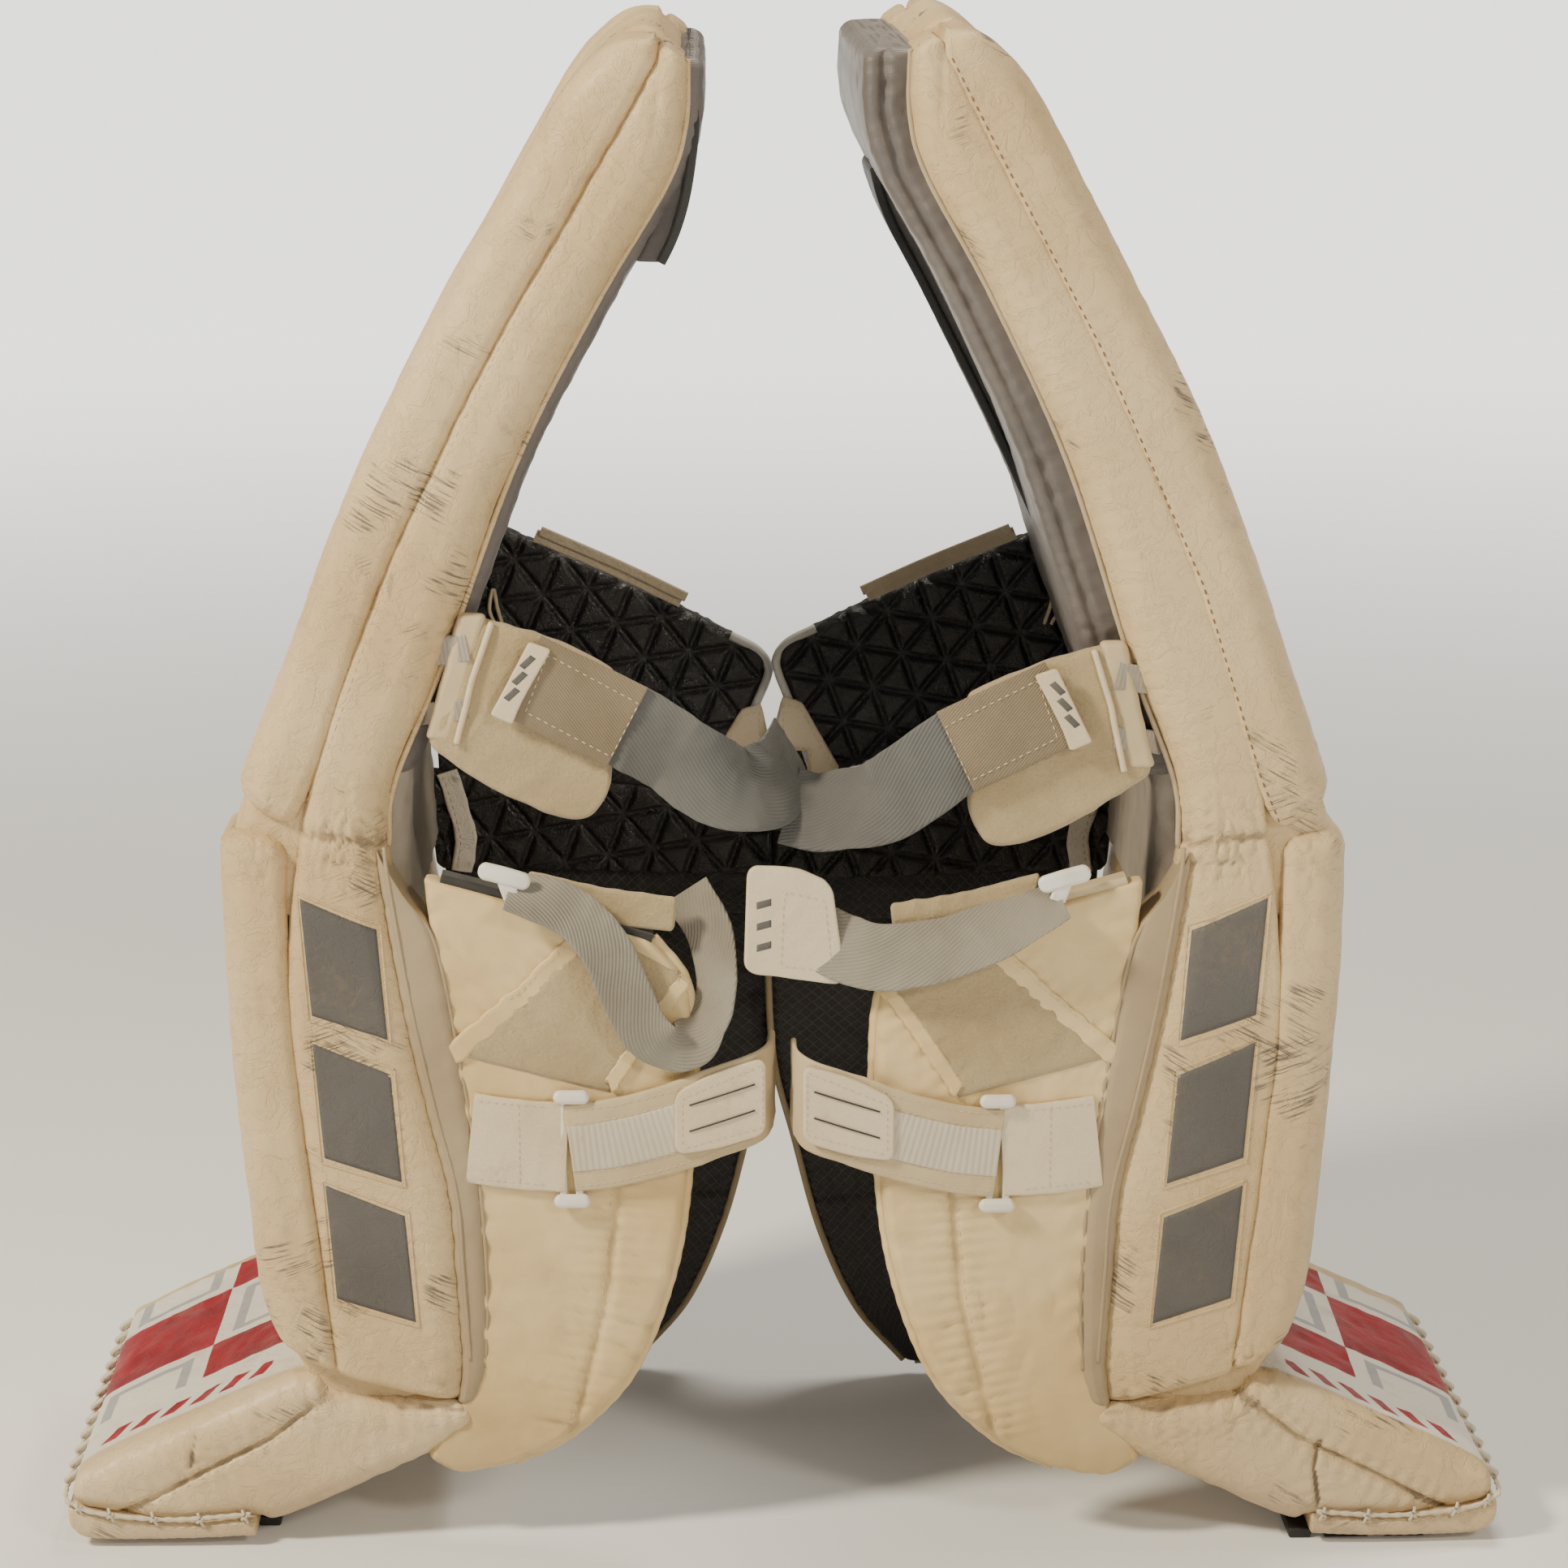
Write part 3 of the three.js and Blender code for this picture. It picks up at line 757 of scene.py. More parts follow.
def webbing(name, base, tint, rib=0.0022, twill=True):
    """Elastic or strap webbing: ribs with a fine slanted weave."""
    shade = Shade(name)
    slant = shade.plus(shade.across, shade.times(shade.along, 0.5)) if twill else shade.along
    ribs = shade.stripes(slant, rib)
    cross = shade.stripes(shade.minus(shade.along, shade.times(shade.across, 0.3)), 0.0008)
    shade.bump(ribs, 0.0004, 0.7)
    shade.bump(cross, 0.00015, 0.5)
    shade.bump(shade.noise(60, 3), 0.0015, 0.3)
    color = shade.mix(shade.spots(0.3, 0.7, 16, 4), base, tint)
    color = shade.mix(shade.times(ribs, cross, 0.3), color, darker(base, 0.6))
    return shade.finish(color, 0.7, Sheen_Weight=0.2, Sheen_Roughness=0.5)


def fleece(name, base, tint):
    """Brushed loop fleece, matted in places."""
    shade = Shade(name)
    shade.bump(shade.noise(420, 5, 0.75), 0.0016, 0.9)
    shade.bump(shade.noise(95, 4, 0.7), 0.0022, 0.6)
    color = shade.mix(shade.spots(0.3, 0.72, 14, 5), base, tint)
    fuzz = shade.times(shade.spots(0.42, 0.7, 700, 3), 0.35)
    color = shade.mix(fuzz, color, darker(base, 0.62))
    return shade.finish(color, 0.92, Sheen_Weight=0.35, Sheen_Roughness=0.6)


def black_leather():
    """Glossy black leather with a little dust."""
    shade = Shade("black_leather")
    grain_bumps(shade, 0.0013, 0.00022, 0.0006)
    color = shade.mix(shade.spots(0.4, 0.75, 25, 5), (0.009, 0.009, 0.011), (0.022, 0.021, 0.022))
    dust = shade.times(shade.spots(0.62, 0.82, 130, 5, 0.7), 0.12)
    color = shade.mix(dust, color, (0.18, 0.16, 0.14))
    return shade.finish(
        color, shade.plus(shade.times(shade.noise(45, 4), 0.3), 0.17), Specular_IOR_Level=0.65)


def ripstop():
    """Black nylon with a raised lattice of small diamonds."""
    shade = Shade("black_ripstop")
    ups = shade.plus(shade.along, shade.across)
    downs = shade.minus(shade.along, shade.across)
    lattice = shade.math(
        "MAXIMUM", shade.step(shade.stripes(ups, 0.0068), 0.86, 0.97),
        shade.step(shade.stripes(downs, 0.0068), 0.86, 0.97))
    shade.bump(lattice, 0.0007, 0.8)
    threads = shade.times(shade.stripes(shade.across, 0.0008), shade.stripes(shade.along, 0.0008))
    shade.bump(threads, 0.0002, 0.6)
    shade.bump(shade.noise(35, 4), 0.002, 0.4)
    color = shade.mix(lattice, (0.016, 0.016, 0.018), (0.052, 0.051, 0.053))
    color = shade.mix(shade.times(shade.spots(0.5, 0.8, 40, 5), 0.3), color, (0.07, 0.062, 0.052))
    return shade.finish(color, 0.5, Sheen_Weight=0.15, Sheen_Roughness=0.4)


def plastic(name, base, tint, rough, scratch):
    """Moulded plastic with fine scratches."""
    shade = Shade(name)
    shade.bump(shade.noise(500, 3), 0.00006, 0.5)
    scratches = shade.step(
        shade.noise(1, 3, 0.6, shade.scaled(shade.place, (700, 90, 120), (0.4, 0.3, 0))), 0.62, 0.7)
    color = shade.mix(shade.spots(0.4, 0.7, 50, 4), base, tint)
    color = shade.mix(shade.times(scratches, 0.3), color, scratch)
    return shade.finish(
        color, shade.plus(shade.times(shade.noise(90, 4), 0.2), rough), Specular_IOR_Level=0.5)


def thread(name, base, tint):
    """Twisted thread or cord."""
    shade = Shade(name)
    twist = shade.stripes(shade.plus(shade.along, shade.times(shade.across, 0.6)), 0.0012)
    shade.bump(twist, 0.0003, 0.8)
    color = shade.mix(shade.noise(300, 3), base, tint)
    return shade.finish(color, 0.75, Sheen_Weight=0.1)


WHITE_LEATHER = leather("white_leather")
# Cream leather for the landing trim, made lighter than the pads' leather: painted light for its shaded
# pocket.
CREAM_PAINTED_LIGHT_LEATHER = leather("cream_painted_light_leather", (0.86, 0.80, 0.71), (0.80, 0.72, 0.60), 0.7)
TAB_LEATHER = leather("tab_leather", (0.74, 0.635, 0.46), (0.66, 0.54, 0.36), 0.9, 0.36, 0.00015)
BOOT_LEATHER = boot_leather()
NYLON = woven("cream_nylon", (0.77, 0.60, 0.325), (0.64, 0.46, 0.205), 0.4, 0.5)
GUSSET_NYLON = woven("gusset_nylon", (0.42, 0.33, 0.21), (0.35, 0.265, 0.16), 0.2, 0.42, sheen=0.05)
LINING = woven("grey_lining", (0.085, 0.075, 0.072), (0.055, 0.049, 0.046), 0.2, 0.5, creases=0.0016)
ROLL_LINING = woven("roll_lining", (0.155, 0.137, 0.13), (0.095, 0.084, 0.08), 0.25, 0.42, creases=0.0016)
LIGHT_LINING = woven("light_lining", (0.36, 0.32, 0.27), (0.28, 0.24, 0.19), 0.2, 0.45, creases=0.0014)
BLACK_LEATHER = black_leather()
RIPSTOP = ripstop()
FLEECE = fleece("loop_fleece", (0.52, 0.405, 0.225), (0.41, 0.305, 0.155))
VELCRO = fleece("velcro_tape", (0.62, 0.52, 0.37), (0.48, 0.39, 0.26))
ELASTIC = webbing("grey_elastic", (0.125, 0.128, 0.124), (0.088, 0.087, 0.081))
LIGHT_ELASTIC = webbing("light_elastic", (0.29, 0.27, 0.225), (0.215, 0.193, 0.15))
PANEL_WEAVE = webbing("stitched_panel", (0.26, 0.205, 0.132), (0.195, 0.15, 0.09), rib=0.0016)
STRAP_EDGE = woven("strap_webbing", (0.60, 0.49, 0.31), (0.49, 0.38, 0.22), 0.3, 0.7)
KEEPER = webbing("keeper_webbing", (0.40, 0.36, 0.30), (0.30, 0.26, 0.21), rib=0.0026, twill=False)
RIBBED = webbing("ribbed_centre", (0.68, 0.62, 0.51), (0.56, 0.49, 0.38), rib=0.0034, twill=False)
GREY_PRINT = leather("grey_print", (0.115, 0.11, 0.104), (0.09, 0.085, 0.08), 0.74, 0.55, 0.0003)
WHITE_PLASTIC = plastic("white_plastic", (0.82, 0.80, 0.75), (0.74, 0.70, 0.62), 0.25, (0.5, 0.45, 0.36))
BLACK_PLASTIC = plastic(
    "black_plastic", (0.012, 0.012, 0.013), (0.025, 0.024, 0.024), 0.4, (0.12, 0.11, 0.10))
LACE = thread("white_lace", (0.78, 0.72, 0.60), (0.60, 0.52, 0.40))
WHITE_THREAD = thread("cream_thread", (0.72, 0.62, 0.44), (0.56, 0.46, 0.30))
BROWN_THREAD = thread("brown_thread", (0.26, 0.14, 0.06), (0.16, 0.08, 0.03))
PIPING = woven("grey_piping", (0.60, 0.60, 0.58), (0.48, 0.47, 0.44), 0.2, 0.5)
TAN_BINDING = woven("tan_binding", (0.50, 0.41, 0.27), (0.40, 0.32, 0.20), 0.3, 0.75)
BLACK_TAPE = woven("black_tape", (0.02, 0.02, 0.021), (0.035, 0.034, 0.034), 0.1, 0.7)


def sew(add, name, line, length=2.6, gap=1.8, radius=0.35):
    """Adds a row of cream stitches along 3-D points."""
    add(name, stitches(line, length, gap, radius), WHITE_THREAD)


# ---------------------------------------------------------------- outlines of the pads
# (x, z) from low to high.

OUT = (0, -1, 0)  # the way to the strap side
ROLL_INNER, ROLL_OUTER = 72, 141  # how far from the pad's middle each layer begins and ends
WALL_INNER, WALL_OUTER = 74, 140
FACE_HALF = 77
BOOT_HALF = 138
UPPER_FRONT = [
    (299, 431), (293, 450), (275, 503), (229, 627), (168, 746), (134, 810), (112, 836), (92, 848)]
UPPER_SEAM = [(270, 412), (256, 444), (222, 551), (166, 677), (112, 778), (84, 832), (78, 842)]
UPPER_BACK = [(216, 404), (213, 440), (188, 507), (152, 616), (111, 704), (76, 768), (67, 800), (67, 834)]
LOWER_FRONT = [(283, 119), (294, 158), (301, 242), (306, 330), (307, 400), (305, 416)]
LOWER_SEAM = [(250, 101), (257, 171), (265, 240), (271, 330), (272, 412)]
LOWER_BACK = [
    (177, 82), (174, 110), (177, 160), (180, 208), (192, 261), (204, 321), (214, 386), (216, 406)]
GUSSET_BACK = [(172, 84), (165, 105), (163, 150), (167, 219), (177, 289), (189, 352), (206, 376)]
BOOT_TOP = [(180, 84), (247, 89), (264, 99), (285, 95), (334, 73), (375, 54), (395, 43), (402, 34)]
BOOT_SOLE = [(174, 74), (192, 57), (239, 34), (284, 14), (297, 15), (336, 13), (376, 17), (398, 24)]
BOOT_SEAM = [(252, 92), (289, 63), (334, 40), (372, 19)]
HEEL_SEAM = [(180, 80), (215, 81), (252, 92)]
LINER_BOARD = [(139, 560), (111, 621), (76, 690), (50, 742), (42, 790), (44, 826)]
WING_LOW = [(30, 384), (120, 408), (203, 432)]
WING_TOP = [(4, 463), (50, 487), (125, 519), (176, 539)]
FLAP_FRONT = [
    (202, 50), (186, 76), (174, 102), (170, 148), (174, 219), (183, 289), (192, 345), (196, 388)]
FLAP_FREE = [
    (184, 40), (152, 46), (118, 64), (84, 102), (61, 165), (52, 235), (50, 285), (54, 326), (72, 352)]
INNER_FRONT = [
    (92, 13), (122, 16), (152, 40), (172, 78), (170, 110), (173, 160), (176, 206), (188, 261), (198, 318)]
INNER_FREE = [(86, 14), (56, 50), (34, 100), (18, 160), (6, 209), (2.5, 270), (2.5, 320)]


def shifted(points, dx, dz=0):
    return [(x + dx, z + dz) for x, z in points]


def over_knee(side, *what, **more):
    """Adds a piece that runs over the knee, going over from the shin's frame to the thigh rise's."""
    piece = put(*what, part="leg", side=side, **more)
    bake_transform(piece)


def stuffed(seed, crown=2.0, creases=0.5, knots=(), seams=(), pucker_edges=0.0, quilt=None):
    """Relief of a stuffed panel: a crown, soft lumps, creased places, sewn lines and gathered edges."""

    def relief(p, normal, s, t):
        flat = np.abs(normal[..., 1])
        x, z = p[..., 0], p[..., 2]
        d = crown * flat * (1 - (2 * np.clip(s, 0, 1) - 1) ** 2) ** 0.7
        d = d + 0.8 * ripple(p, 95, seed) + creases * (0.5 - np.abs(ripple(p, 26, seed + 1)))
        for centre, radius, depth, size in knots:
            d = d + knot_relief(p, centre, radius, depth, size, seed + 2)
        for line, depth, width, *gathers in seams:
            d = d + flat * seam_relief(x, z, line, depth, width, *gathers)
        if pucker_edges:
            along = t * 60 + 2.5 * ripple(p, 60, seed + 3)
            edge = np.exp(-((np.minimum(s, 1 - s) / 0.16) ** 2))
            d = d + pucker_edges * np.sin(along * 2.1) * edge * flat
        if quilt:
            d = d + flat * quilt(x, z)
        return d

    return relief


def frame_line(corners, margin):
    """The corners of a quadrilateral pulled in towards its middle, as a closed line."""
    corners = np.array(corners, float)
    middle = corners.mean(0)
    inward = middle - corners
    pulled = corners + inward / np.linalg.norm(inward, axis=1, keepdims=True) * margin
    return np.vstack([pulled, pulled[:1]])


def front(side, part, seed, outlines, radius, ends, counts, knots, core, levels, plain):
    """The two front rolls of a pad's shin or thigh rise, and the rolled face between them."""
    add = partial(put, side=side, body=part)
    seam, edge = outlines
    name = f"{part}_roll"
    near = slab(
        shifted(seam, -1), edge, -ROLL_OUTER, -ROLL_INNER, (radius, 24, 12, 2), ends[0], counts[0],
        (16 if part == "thigh" else 14, 12, 9), stuffed(seed + 5, 0.5, 0.8, knots))
    add(name, near, WHITE_LEATHER, [name], 0.9)
    far = slab(
        shifted(seam, -1), edge, ROLL_INNER, ROLL_OUTER, (2, 12, 24, 8), ends[1], counts[1],
        (12, 12, 9), stuffed(seed + 11, 0.5, 0.8))
    add(f"{part}_far_roll", far, WHITE_LEATHER, fill=0.9)

    def face_relief(p, normal, s, t):
        rolls = sum(-2.6 * np.exp(-(((p[..., 2] - level) / 3.2) ** 2)) for level in levels)
        middle = -1.6 * np.exp(-((p[..., 1] / 3.0) ** 2)) * plain(p[..., 2])
        lumps = 0.9 * ripple(p, 90, seed + 13) + 0.4 * (0.5 - np.abs(ripple(p, 28, seed + 14)))
        return np.clip(normal[..., 0], 0, 1) * (rolls + middle) + lumps

    back, top, end_radii, count, across = core
    face = slab(
        back, top, -FACE_HALF, FACE_HALF, (6, 10, 10, 6), end_radii, count, (across, 46, 4), face_relief)
    add(f"{part}_face", face, WHITE_LEATHER, [f"{part}_core"], 0.9)
    return near


def shin(side, seed):
    """The shin's rolls, face and lining, and the gusset behind the wall on the strap side."""
    add = partial(put, side=side, body="shin")
    knots = [
        ((285, -130, 412), 26, 2.4, 9), ((262, -138, 104), 20, 3.2, 8), ((272, -120, 118), 24, 2.2, 9)]
    core = shifted(LOWER_FRONT, -58), shifted(LOWER_FRONT, -4), (5, 5), 110, 14
    front(
        side, "shin", seed, (LOWER_SEAM, LOWER_FRONT), 8, ((7, 12), (7, 7)), (150, 110), knots, core,
        (372, 336, 300), lambda z: z < 300)
    inside = LOWER_FRONT[:-1]
    lining = slab(
        shifted(inside, -86), shifted(inside, -54), -78, 78, (14, 4, 4, 14), (8, 8), 110, (10, 44, 5),
        stuffed(seed + 16, 0, 2.4))
    add("shin_lining", lining, LINING, fill=0.8)
    gusset = slab(
        GUSSET_BACK, shifted(LOWER_BACK, 6), -137.5, -106, (9, 4, 4, 6), (4, 4), 150, (12, 10, 5),
        stuffed(seed + 18, 1.2, 0.7, pucker_edges=0.5))
    add("gusset", gusset, GUSSET_NYLON, ["gusset"], 0.7)
    pipings = ("gusset_piping", GUSSET_BACK, 2, -136.3), ("wall_piping", LOWER_BACK, 1, -138.5)
    for name, line, off, y in pipings:
        path = [(x + off, y, z) for x, z in line[1:]]
        add(name, tube(path, 1.2, 8, 120), GUSSET_NYLON)


def walls(side, seed):
    """The two side walls, each one panel from ankle to top. Returns the wall on the strap side."""
    back = LOWER_BACK[:-1] + UPPER_BACK[1:]
    seam = LOWER_SEAM[:-1] + UPPER_SEAM[1:]
    r = 3 if side == "right" else 8
    creases = [
        ((244, -140, 410), 22, 2.2, 9), ((212, -140, 408), 30, 2.6, 9), ((190, -140, 95), 30, 1.8, 12),
        ((250, -140, 112), 20, 1.6, 9)]
    lines = [
        (shifted(back, 15), 0.8, 2.2), ([(216, 408), (240, 411), (268, 413)], 2.4, 2.6),
        ([(214, 396), (244, 398)], 1.0, 2.0)]
    near = slab(
        back, shifted(seam, 1), -WALL_OUTER, -WALL_INNER, (20, r, 2, 8), (6, 4), 300, (34, 10, 6),
        stuffed(seed, 1.6, 0.6, creases, lines))
    far = slab(
        back, shifted(seam, 1), WALL_INNER, WALL_OUTER, (8, 2, r, 20), (6, 4), 200, (22, 10, 6),
        stuffed(seed + 9, 1.6, 0.7))
    for name, solid, node in (("outer_wall", near, "side_outer"), ("far_wall", far, "side_inner")):
        over_knee(side, name, solid, WHITE_LEATHER, ["shin_" + node, "thigh_" + node], 0.9)
    return near


def thigh(side, seed, wall):
    """The thigh rise. The lining of the right pad is the shallower one, cut back to show its board."""
    add = partial(put, side=side, body="thigh")
    shallow = side == "right"
    core = [(217, 414)] + shifted(UPPER_BACK[1:], 2), shifted(UPPER_FRONT, -4, 2), (5, 8), 130, 24
    knots = [((285, -130, 432), 26, 2.4, 9)]
    roll = front(
        side, "thigh", seed, (UPPER_SEAM, UPPER_FRONT), 3 if shallow else 8, ((12, 14), (6, 12)),
        (170, 120), knots, core, (470, 505), lambda z: z > 505)
    back = [(x, z) for x, z in UPPER_BACK if z > 430]
    soft = stuffed(seed + 16, 0, 1.6, seams=[(shifted(back, -14), 3.4, 3.0)])
    lining = slab(
        shifted(back, -24 if shallow else -9), shifted(back, 8), -116, 122, (8, 3, 3, 8), (8, 8), 170,
        (26, 46, 5), soft)
    add("thigh_lining", lining, ROLL_LINING, ["thigh_liner"], 0.7)
    reach, top = (560, 766) if shallow else (722, 830)
    board = [(x, z) for x, z in spline(LINER_BOARD, 40) if reach - 1 <= z < top]
    liner = slab(
        shifted(board, 9 if shallow else 18), shifted(board, 34), 4 if shallow else -112, 116,
        (5, 3, 3, 5), (2, 10), 110, (8, 34, 4), stuffed(seed + 19, 0, 1.2))
    add("thigh_board", liner, LINING, fill=0.8)
    edge_x, edge_y = (10.5, 2.5) if shallow else (20, -113.5)
    strip = [(x + edge_x, edge_y, z) for x, z in board]
    add("liner_trim", band(strip, 5, 3, OUT, count=60), BLACK_TAPE)
    binding = [(x - 0.5, -126, z) for x, z in UPPER_BACK]
    cloth = TAN_BINDING if shallow else WHITE_LEATHER
    add("back_binding", tube(binding, 1.6, 8, 220, 0.03), cloth, slot="grey_lining")
    if shallow:
        solid, off, radius, cotton = roll, 2, 0.5, BROWN_THREAD
    else:
        solid, off, radius, cotton = wall, -3, 0.3, WHITE_THREAD
    seam = on_surface(solid, shifted(UPPER_SEAM[:-1], off), 0.15, 300)
    add("thigh_seam_thread", stitches(seam, 3.0, 2.6, radius), cotton)


def side_marks(side, wall):
    """Three plain slanted grey bars with a raised outline, standing in for the printed lettering."""
    add = partial(put, side=side, body="shin")
    for k, low in enumerate((134, 216, 298)):
        lean = (low + 38 - 134) * 0.075
        x0, x1 = 202 + lean, 246 + lean * 0.8
        corners = [(x0, low), (x1, low + 14), (x1 + 5, low + 80), (x0 + 5, low + 62)]
        add(f"side_bar_{k}", patch(wall, corners, 0.5, (30, 20)), GREY_PRINT)
        outline = frame_line(corners, -3.5)
        add(f"side_outline_{k}", tube(on_surface(wall, outline, 0.0, 130), 0.7, 6, 260), WHITE_LEATHER)


def boot(side, seed):
    """The boot with its seams, toe cap, lacing and sole ridges."""
    add = partial(put, side=side, body="boot")
    seams = [(BOOT_SEAM, 2.6, 2.2), (HEEL_SEAM, 2.0, 2.0), ([(251, 100), (268, 101)], 1.6, 1.6)]
    cuts = {
        "right": ([(301, 61), (298, 45), (301, 25)], 2.6, 1.3),
        "left": ([(330, 66), (333, 48)], 1.8, 1.4)}
    seams.append(cuts[side])

    def bulge(x, z):
        d, _ = line_distance(x, z, BOOT_SEAM)
        return 2.2 * np.clip(d / 18, 0, 1) ** 0.6

    knots = [((262, -132, 98), 24, 3.0, 8), ((230, -138, 70), 40, 1.0, 10)]
    shell = slab(
        BOOT_SOLE, BOOT_TOP, -BOOT_HALF, BOOT_HALF, (12, 17, 17, 12), (5, 9), 150, (40, 70, 7),
        stuffed(seed, 0, 0.8, knots, seams, quilt=bulge))
    add("boot", shell, BOOT_LEATHER, ["boot_shell"], 0.9)
    for name, line in (("boot_seam", BOOT_SEAM), ("heel_seam", HEEL_SEAM)):
        for k, off in enumerate((-3.2, 3.2)):
            path = on_surface(shell, shifted(line, 0, off), 0.1, 130)
            sew(add, f"{name}_thread_{k}", path, 2.8, 1.8, 0.3)
    cap_low = [(297, 6), (336, 4.8), (386, 4.8), (399, 10), (403, 18)]
    cap_top = [(297, 18), (336, 15), (376, 19), (396, 24), (402, 27)]
    cap = slab(
        cap_low, cap_top, -141, 141, (3, 4, 4, 3), (2, 4), 80, (10, 60, 4),
        stuffed(seed + 3, 1.0, 0.6, pucker_edges=0.3))
    add("toe_cap", cap, BOOT_LEATHER, ["toe_cap"], 0.95)
    edge = on_surface(cap, [(299, 14.5), (336, 12), (374, 15.5), (394, 20)], 0.1, 120)
    sew(add, "cap_stitches", edge, 3.4, 2.4, 0.5)
    lace = [
        (300, -141.5, 20), (345, -142.5, 17.5), (384, -143, 21.5), (398, -141.5, 26), (404.5, -133, 29),
        (405, -70, 29.5), (405, 0, 29.5)]
    lace += [(x, -y, z) for x, y, z in lace[-2::-1]]
    add("toe_lacing", tube(lace, 1.25, 8, 420, 0.2), LACE, ["toe_lacing"])
    ties = [(303, -143, 19), (328, -143.5, 17.5), (354, -143.5, 18.5), (378, -144, 21), (396, -142.5, 25)]
    for k, (x, y, z) in enumerate(ties):
        knots = [
            tube([(x - 1.5, y + 0.6, z - 4), (x, y - 0.8, z), (x + 1.5, y + 0.6, z + 4)], 0.9, 6, 12),
            tube([(x + 2, y + 0.6, z - 2), (x - 1.5, y - 0.8, z + 1)], 0.9, 6, 8)]
        add(f"lace_knot_{k}", joined(*knots), LACE)
    hops = []
    for y in range(-122, 121, 22):
        hop = [(399, y, 38), (405.5, y + 2, 33), (405, y + 9, 29), (400, y + 13, 34)]
        hops.append(tube(hop, 1.7, 8, 16))
    add("toe_loops", joined(*hops), LACE)
    ridges, near = [], -132 if side == "right" else -112
    for x, length in ((286, 13), (306, 26), (340, 24)):
        low, top = [(x, 0.1), (x + length, 0.1)], [(x, 6), (x + length, 6)]
        ridges.append(slab(low, top, near, 132, (1, 1, 1, 1), (1.5, 1.5), 12, (4, 20, 2)))
    add("toe_bridge", joined(*ridges), BLACK_PLASTIC, ["toe_bridge"])


def knee_wing(side, seed):
    """The black wing beside the knee, with its piping, tapes, cord loop and slotted tab."""
    add = partial(put, side=side, body="wing")
    relief = stuffed(seed, 0.6, 0.3, quilt=triangles)
    wing = slab(WING_LOW, WING_TOP, 120.5, 133, (4, 4, 4, 4), (12, 4), 230, (120, 5, 4), relief)
    add("knee_wing", wing, BLACK_LEATHER, ["knee_wing"], 0.7)
    rim = [(30, 385), (24, 402), (15, 430), (7.5, 450), (7, 459), (14, 468), (30, 476)]
    rim = [(x, 121.5, z) for x, z in rim]
    add("wing_piping", tube(rim, 2.7, 8, 100), PIPING)
    for k, (dx, dz) in enumerate(((0, 0), (-3, 3))):
        tape = [
            (60 + dx, 120 - 2 * k, 496 + dz), (100 + dx, 119 - 2 * k, 514 + dz),
            (148 + dx, 120 - 2 * k, 533 + dz)]
        node = ["wing_velcro"] if k == 0 else ()
        add(f"wing_velcro_{k}", band(tape, 8 - 2 * k, 2.2, OUT), VELCRO, node)
    loop = [(166, 118.6, 478), (169, 116.4, 488), (172, 117.4, 500), (174, 116.4, 488), (170, 117, 478)]
    add("wing_cord_loop", tube(loop, 1.2, 6, 60), WHITE_THREAD)
    backing = slab(
        [(16, 384), (60, 390)], [(13, 450), (60, 476)], 134.5, 137.5, (1.4,) * 4, (3, 3), 50, (24, 3, 3),
        stuffed(seed + 3, 0, 1.2))
    add("wing_backing", backing, RIPSTOP)
    tab = holed_plate(
        [(6, 382), (36, 372), (44, 392), (22, 432), (10, 436), (5, 416)],
        [(13, 385), (25, 385), (25, 402), (13, 402)], 116.6, 120.8)
    add("slot_tab", tab, TAB_LEATHER, ["slot_tab"])
    for name, ring in (
        ("slot", [(11, 383), (27, 383), (27, 404), (11, 404)]),
        ("tab", [(9, 385), (34, 376), (40, 392), (21, 428), (11, 431)]),
    ):
        line = resample(ring + ring[:1], 120)
        points = np.stack([line[:, 0], np.full(len(line), 116.3), line[:, 1]], 1)
        sew(add, f"{name}_thread", points, 2.4, 1.8, 0.32)


def landing(side, seed):
    """The band that the knee lands on, its backing panel and its trim."""
    add = partial(put, side=side, body="shin")
    low = [(3, 326), (110, 328), (204, 331)]
    top = [(3, 371), (60, 378), (110, 384), (210, 392)]
    relief = stuffed(seed, 0.6, 0.3, quilt=triangles)
    landing_band = slab(low, top, 101.5, 111.5, (4, 4, 4, 4), (8, 4), 230, (60, 5, 4), relief)
    add("landing_band", landing_band, BLACK_LEATHER, ["landing_band"], 0.7)
    panel = slab(
        [(1.5, 300), (100, 300), (198, 300)], [(1.5, 372), (48, 384), (100, 418), (204, 430)], 108, 112,
        (2, 2, 2, 2), (6, 6), 90, (60, 3, 3), stuffed(seed + 1, 0, 1.4))
    add("cradle_panel", panel, RIPSTOP, fill=0.4)
    trim = [(189, 99.5, 330), (186, 98, 350), (191, 98.5, 372), (197, 99.5, 391)]
    trim_band = band(trim, 12, 2.4, OUT, count=60, relief=stuffed(seed, 0, 1.6))
    # The trim's leather is lightened as painted light for its shaded pocket.
    add("landing_trim", trim_band, CREAM_PAINTED_LIGHT_LEATHER)
    seam = on_surface(trim_band, [(x + 2.6, z) for x, _, z in trim], 0.15, 90)
    sew(add, "landing_thread", seam, 2.6, 2.0, 0.4)


